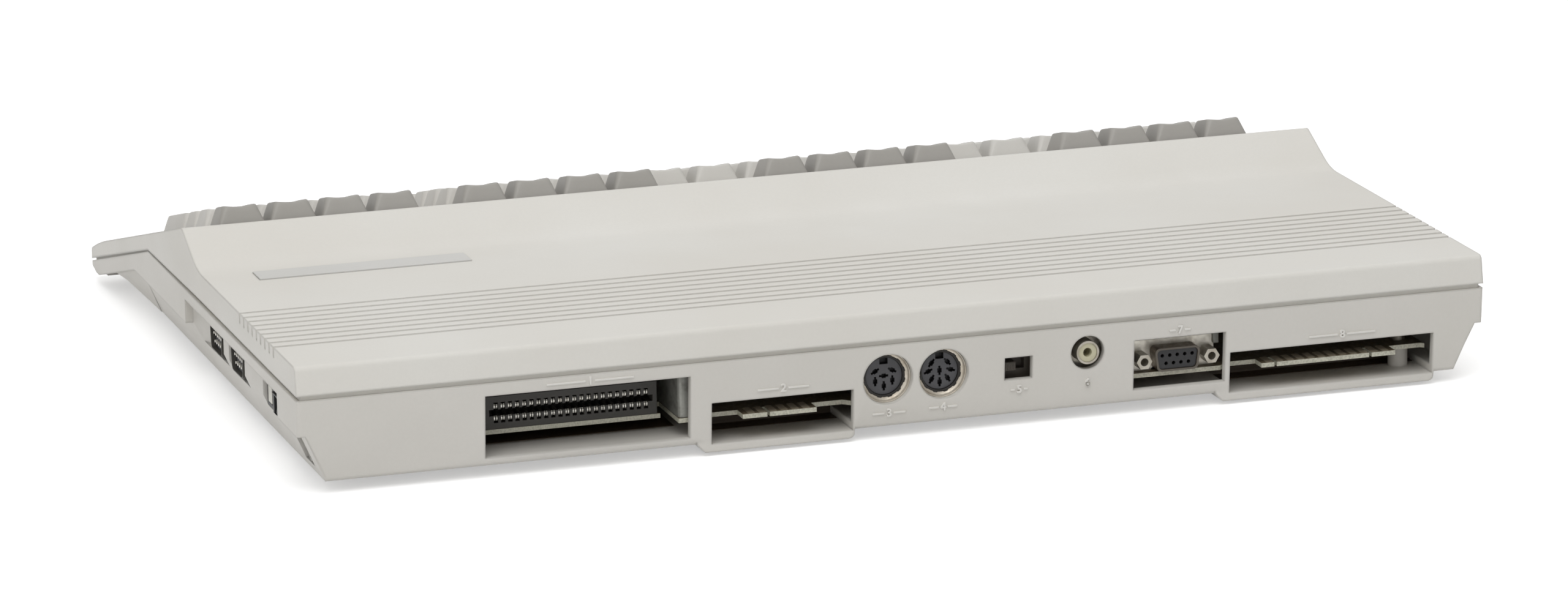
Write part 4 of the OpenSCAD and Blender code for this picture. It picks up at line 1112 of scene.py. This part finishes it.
    def build(self, finishes: Finishes) -> None:
        """Builds both sockets."""
        rings = (("band", self.band, 3, "shield"), ("collar", self.collar, 0, "collar"))
        sockets = (("serial", self.serial_x, self.serial), ("video", self.video_x, self.video))
        for name, x, contacts in sockets:
            self.insert(name + "_socket", x, contacts, finishes)
            for part, profile, teeth, finish in rings:
                piece = self.lathe(f"{name}_{part}", x, np.array(profile), teeth, finishes[finish])
                seat(piece, node=name + "_ring")
        LOG.info("round sockets built")


@dataclass
class SliderRidges:
    """Fine upright ridges on the channel switch's slider."""

    middle: Triple = (-39.9, 4.45, 21.0)
    count: int = 6
    pitch: float = 0.62
    size: Triple = (0.28, 0.3, 2.8)
    soft: float = 0.06

    def build(self, finishes: Finishes) -> None:
        """Builds the ridges, which ride on the slider."""
        x, run, z = self.middle
        centres = behind(x + spread(self.count, self.pitch), run, z)
        piece = slabs("slider_ridges", centres, self.size, self.soft, finishes["brown"])
        seat(piece, "channel_slider")


@dataclass
class MonitorShell:
    """The monitor socket's metal: a brown nickelled shell on a brighter plate, its rim dark brown as painted
    shade.
    """

    shell_run: float = 9.1
    shaded_rim_run: float = 3.6

    def build(self, source: Piece, finishes: Finishes) -> None:
        """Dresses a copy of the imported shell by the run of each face.

        Args:
            source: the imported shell.
            finishes: the computer's finishes.
        """
        mesh = source.data.copy()
        mesh.materials.clear()
        for name in ("tin", "nickel", "brown"):
            mesh.materials.append(finishes[name])
        middle = np.empty(len(mesh.polygons) * 3)
        mesh.polygons.foreach_get("center", middle)
        run = BACK - middle.reshape(-1, 3)[:, 1] / MM
        # the faces nearest the back, the rim, take the dark brown plastic finish: painted shade on the flat
        # rim that faces the camera
        finish = (run < self.shell_run).astype(np.int32) + (run < self.shaded_rim_run)
        mesh.polygons.foreach_set("material_index", finish)
        mesh.update()
        seat(link("monitor_shell_dressed", mesh), node="monitor_shell")
        LOG.info("monitor shell dressed")


# path of the foil under the board in the tape and user trays; its dark sheet is partly painted shade
TRAY_SHADE_FOIL = ((20.0, 4.4), (26.4, 4.4), (27.0, 4.6), (27.2, 5.2), (27.2, 6.8), (27.5, 7.15), (60.0, 7.15))


@dataclass
class InnerSheets:
    """Thin sheets seen through the rear openings: the foil under the board, dark brown partly as painted
    shade, and the shield's side wall.
    """

    thick: float = 0.25
    low: float = 13.7
    high: float = 28.6
    tab_at: Triple = (-117.3, 8.4, 24.0)
    tab: Triple = (2.0, 0.9, 5.4)
    tab_soft: float = 0.2

    # first and last x, and the path as runs and heights
    shade_foils: Tuple[Tuple[str, float, float, Tuple[Pair, ...]], ...] = (
        ("tape_shade_foil", 18.6, 68.7, TRAY_SHADE_FOIL),
        ("user_shade_foil", -196.1, -120.6, TRAY_SHADE_FOIL),
        ("expansion_shade_foil", 77.2, 148.9, ((21.0, 7.1), (60.0, 7.1), (90.0, 7.1))))
    wall: Tuple[Pair, ...] = ((79.5, 34.0), (79.5, 20.0), (79.5, 8.2), (79.4, 7.4), (79.0, 6.8),
                              (78.3, 6.45), (77.5, 6.4), (73.0, 6.4))

    def sheet(self, name: str, path: Array, axes: Triple, ends: Pair, material: Material) -> None:
        """A path thickened to both sides and carried straight from one end to the other.

        Each point moves half the thickness along the path's normal, (-dv, du) / |(du, dv)|.

        Args:
            name: the piece's name.
            path: N by 2 points.
            axes: the two axes that the path lies in, and the axis that it is carried along.
            ends: where the sheet starts and stops on the last axis.
            material: finish.
        """
        step = np.gradient(path, axis=0)
        normal = np.stack([-step[:, 1], step[:, 0]], -1) / np.hypot(step[:, 0], step[:, 1])[:, None]
        loop = np.concatenate([path + normal * self.thick / 2, (path - normal * self.thick / 2)[::-1]])
        verts = np.zeros((1, 2, len(loop), 3))
        verts[..., list(axes[:2])] = loop
        verts[..., axes[2]] = np.array(ends)[:, None]
        seat(recalc(lofted(name, [verts], material)))

    def build(self, finishes: Finishes) -> None:
        """Builds the sheets."""
        # the foils are real sheets whose dark brown also paints the shade behind the tongues
        for name, first, last, path in self.shade_foils:
            rise = np.array([BACK, 0.0]) + np.array(path) * [-1, 1]
            self.sheet(name, rise, (1, 2, 0), (first, last), finishes["foil"])
        plan = np.array([0.0, BACK]) + np.array(self.wall) * [1, -1]
        self.sheet("shield_side", plan, (0, 1, 2), (self.low, self.high), finishes["dull_tin"])
        x, run, z = self.tab_at
        tab = slabs("shield_tab", behind([x], run, z), self.tab, self.tab_soft, finishes["dull_tin"])
        seat(tab)
        LOG.info("inner sheets built")


@dataclass
class PanelMarks:
    """Plain raised marks beside the sockets: a numeral between two bars, lighter than the case as painted
    highlight.
    """

    height: float = 2.9
    type_size: float = 1.35
    proud: float = 0.45
    bar: float = 0.65
    bold: float = 0.09
    soft: float = 0.06
    room: float = 1.6
    least: float = 6.0
    wall_lean: float = 2.6
    wall_foot: float = 5.6
    wall_top: float = 34.0

    # name, middle x, height of the middle, full width
    rear: Tuple[Tuple[str, float, float, float], ...] = (
        ("1", 112.4, 31.6, 31.0), ("2", 43.5, 22.2, 18.5), ("3", 5.2, 9.3, 12.0), ("4", -14.5, 9.6, 10.3),
        ("5", -42.2, 13.3, 6.3), ("6", -67.3, 13.3, 4.3), ("7", -101.2, 29.4, 7.9), ("8", -162.0, 22.0, 25.0))

    def wall_run(self, z: float) -> float:
        """Run of the rear wall's face at a height, from its lean between foot and top."""
        return self.wall_lean * (self.wall_top - z) / (self.wall_top - self.wall_foot)

    def numeral(self, text: str, turn: Matrix, finishes: Finishes) -> None:
        """A raised numeral as a mesh.

        Args:
            text: the numeral.
            turn: from the lettering's plane to its place.
            finishes: the computer's finishes.
        """
        name = f"socket_mark_{text}"
        curve = bpy.data.curves.new(name, "FONT")
        curve.body = text
        curve.size = self.height * self.type_size * MM
        curve.extrude = self.proud * MM
        curve.bevel_depth = self.soft * MM
        curve.offset = self.bold * MM
        curve.align_x = "CENTER"
        curve.align_y = "CENTER"
        holder = link(name, curve)
        bpy.context.view_layer.update()
        mesh = bpy.data.meshes.new_from_object(holder.evaluated_get(bpy.context.evaluated_depsgraph_get()))
        bpy.data.objects.remove(holder)
        mesh.transform(turn)
        piece = link(name, mesh)
        give(piece, finishes["mark"])
        seat(piece)

    def build(self, finishes: Finishes) -> None:
        """Builds the marks on the rear wall."""
        bars = []
        for text, x, z, width in self.rear:
            run = self.wall_run(z)
            place = Matrix.Translation(Vector((x, BACK - run, z)) * MM)
            turn = place @ Matrix.Rotation(math.pi, 4, "Z") @ Matrix.Rotation(math.pi / 2, 4, "X")
            self.numeral(text, turn, finishes)
            if width > self.least:
                half = (width / 2 - self.room) / 2
                bars += [(x + s * (self.room + half), run, z, 2 * half) for s in (-1, 1)]
        for k, (x, run, z, length) in enumerate(bars):
            size = (length, 2 * self.proud, self.bar)
            bar = slabs(f"mark_bar_{k}", behind([x], run, z), size, self.soft, finishes["mark"])
            seat(bar)
        LOG.info("%d marks", len(self.rear))


# ---------------------------------------------------------------- studio


@dataclass
class Studio:
    """Camera, floor and soft lights, in metres."""

    azimuth: float = 162.906
    elevation: float = 14.148
    roll: float = -1.085
    distance: float = 2.5198
    focal: float = 12033.5
    width: float = 2560.0
    sensor: float = 36.0
    clip: Pair = (0.05, 60.0)
    target: Triple = (0.04302, 0.165, 0.05335)
    floor_r: float = 12.0
    floor_hub: Pair = (0.001, 0.5)
    floor_rings: int = 12
    floor_sides: int = 64
    surround: float = 0.42

    # name, place, side and watts
    lamps: Tuple[Tuple[str, Triple, float, float], ...] = (
        ("key_light", (0.5, 1.3, 2.6), 2.2, 45.5), ("fill_light", (1.9, 1.2, 1.1), 1.6, 6.5),
        ("front_light", (-0.9, -1.4, 1.8), 2.0, 12.0))

    def camera(self) -> None:
        """Places the camera on a ray from the target, rolled about its own axis."""
        a, e, r = (math.radians(v) for v in (self.azimuth, self.elevation, self.roll))
        back = Vector((math.sin(a) * math.cos(e), -math.cos(a) * math.cos(e), math.sin(e)))
        right = (-back).cross(Vector((0, 0, 1))).normalized()
        up = right.cross(-back)
        right, up = right * math.cos(r) + up * math.sin(r), up * math.cos(r) - right * math.sin(r)
        data = bpy.data.cameras.new("camera")
        data.sensor_width = self.sensor
        data.sensor_fit = "HORIZONTAL"
        data.lens = self.sensor * self.focal / self.width
        data.clip_start, data.clip_end = self.clip
        place = Vector(self.target) + back * self.distance
        cam = link("camera", data)
        cam.matrix_world = Matrix(((right.x, up.x, back.x, place.x), (right.y, up.y, back.y, place.y),
                                   (right.z, up.z, back.z, place.z), (0, 0, 0, 1)))
        bpy.context.scene.camera = cam

    def floor(self) -> None:
        """A round floor as a grid of radius and angle, flat where the computer stands."""
        hub, first = self.floor_hub
        r = np.concatenate([[hub], np.linspace(first, self.floor_r, self.floor_rings)])
        t = np.arange(self.floor_sides) * 2 * math.pi / self.floor_sides
        verts = np.stack([r[:, None] * np.cos(t), r[:, None] * np.sin(t), np.zeros((len(r), len(t)))], -1)
        mesh = bpy.data.meshes.new("floor")
        quads = loft_faces(1, len(r), len(t))[:, ::-1]
        mesh.from_pydata(verts.reshape(-1, 3).tolist(), [], quads.tolist() + [list(range(len(t)))])
        mesh.materials.append(StudioSurface().make())
        link("floor", mesh)

    def lamp(self, name: str, place: Triple, size: float, watts: float) -> None:
        """An area lamp that looks at the computer.

        Args:
            name: the lamp's name.
            place: where it hangs.
            size: its side.
            watts: its power.
        """
        data = bpy.data.lights.new(name, "AREA")
        data.shape = "SQUARE"
        data.size = size
        data.energy = watts
        spot = Vector(place)
        link(name, data).matrix_world = (Matrix.Translation(spot)
                                         @ (-spot).to_track_quat("-Z", "Y").to_matrix().to_4x4())

    def world(self) -> None:
        """A plain pale surround, white where the camera sees it."""
        world = bpy.data.worlds.new("surround")
        bpy.context.scene.world = world
        sky = NodeTree(world)
        seen = sky.put("LightPath").outputs["Is Camera Ray"]
        reach = sky.put("MapRange", Value=seen, To_Min=self.surround, To_Max=1.0)
        glow = sky.put("Background", Color=(1, 1, 1, 1), Strength=reach.outputs["Result"])
        sky.put("OutputWorld", Surface=glow.outputs[0])

    def build(self) -> None:
        """Builds the whole studio."""
        self.camera()
        self.floor()
        self.world()
        for lamp in self.lamps:
            self.lamp(*lamp)
        bpy.context.scene.view_settings.view_transform = "Standard"


def main() -> None:
    """Builds the studio and dresses the computer, sub-assembly by sub-assembly."""
    logging.basicConfig(level=logging.INFO, format="%(name)s: %(message)s")
    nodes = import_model()["nodes"]
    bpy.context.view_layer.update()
    Studio().build()
    finishes = Finishes()
    finishes.dress(nodes)
    Skin("upper_case", lip=True).build(nodes["upper_case"], finishes["upper"])
    Skin("lower_case", angle=45.0).build(nodes["lower_case"], finishes["lower"])
    Keyboard().build(finishes)
    Contacts().build(finishes)
    RoundSockets().build(finishes)
    SliderRidges().build(finishes)
    MonitorShell().build(nodes["monitor_shell"], finishes)
    InnerSheets().build(finishes)
    PanelMarks().build(finishes)


if __name__ == "__main__":
    main()
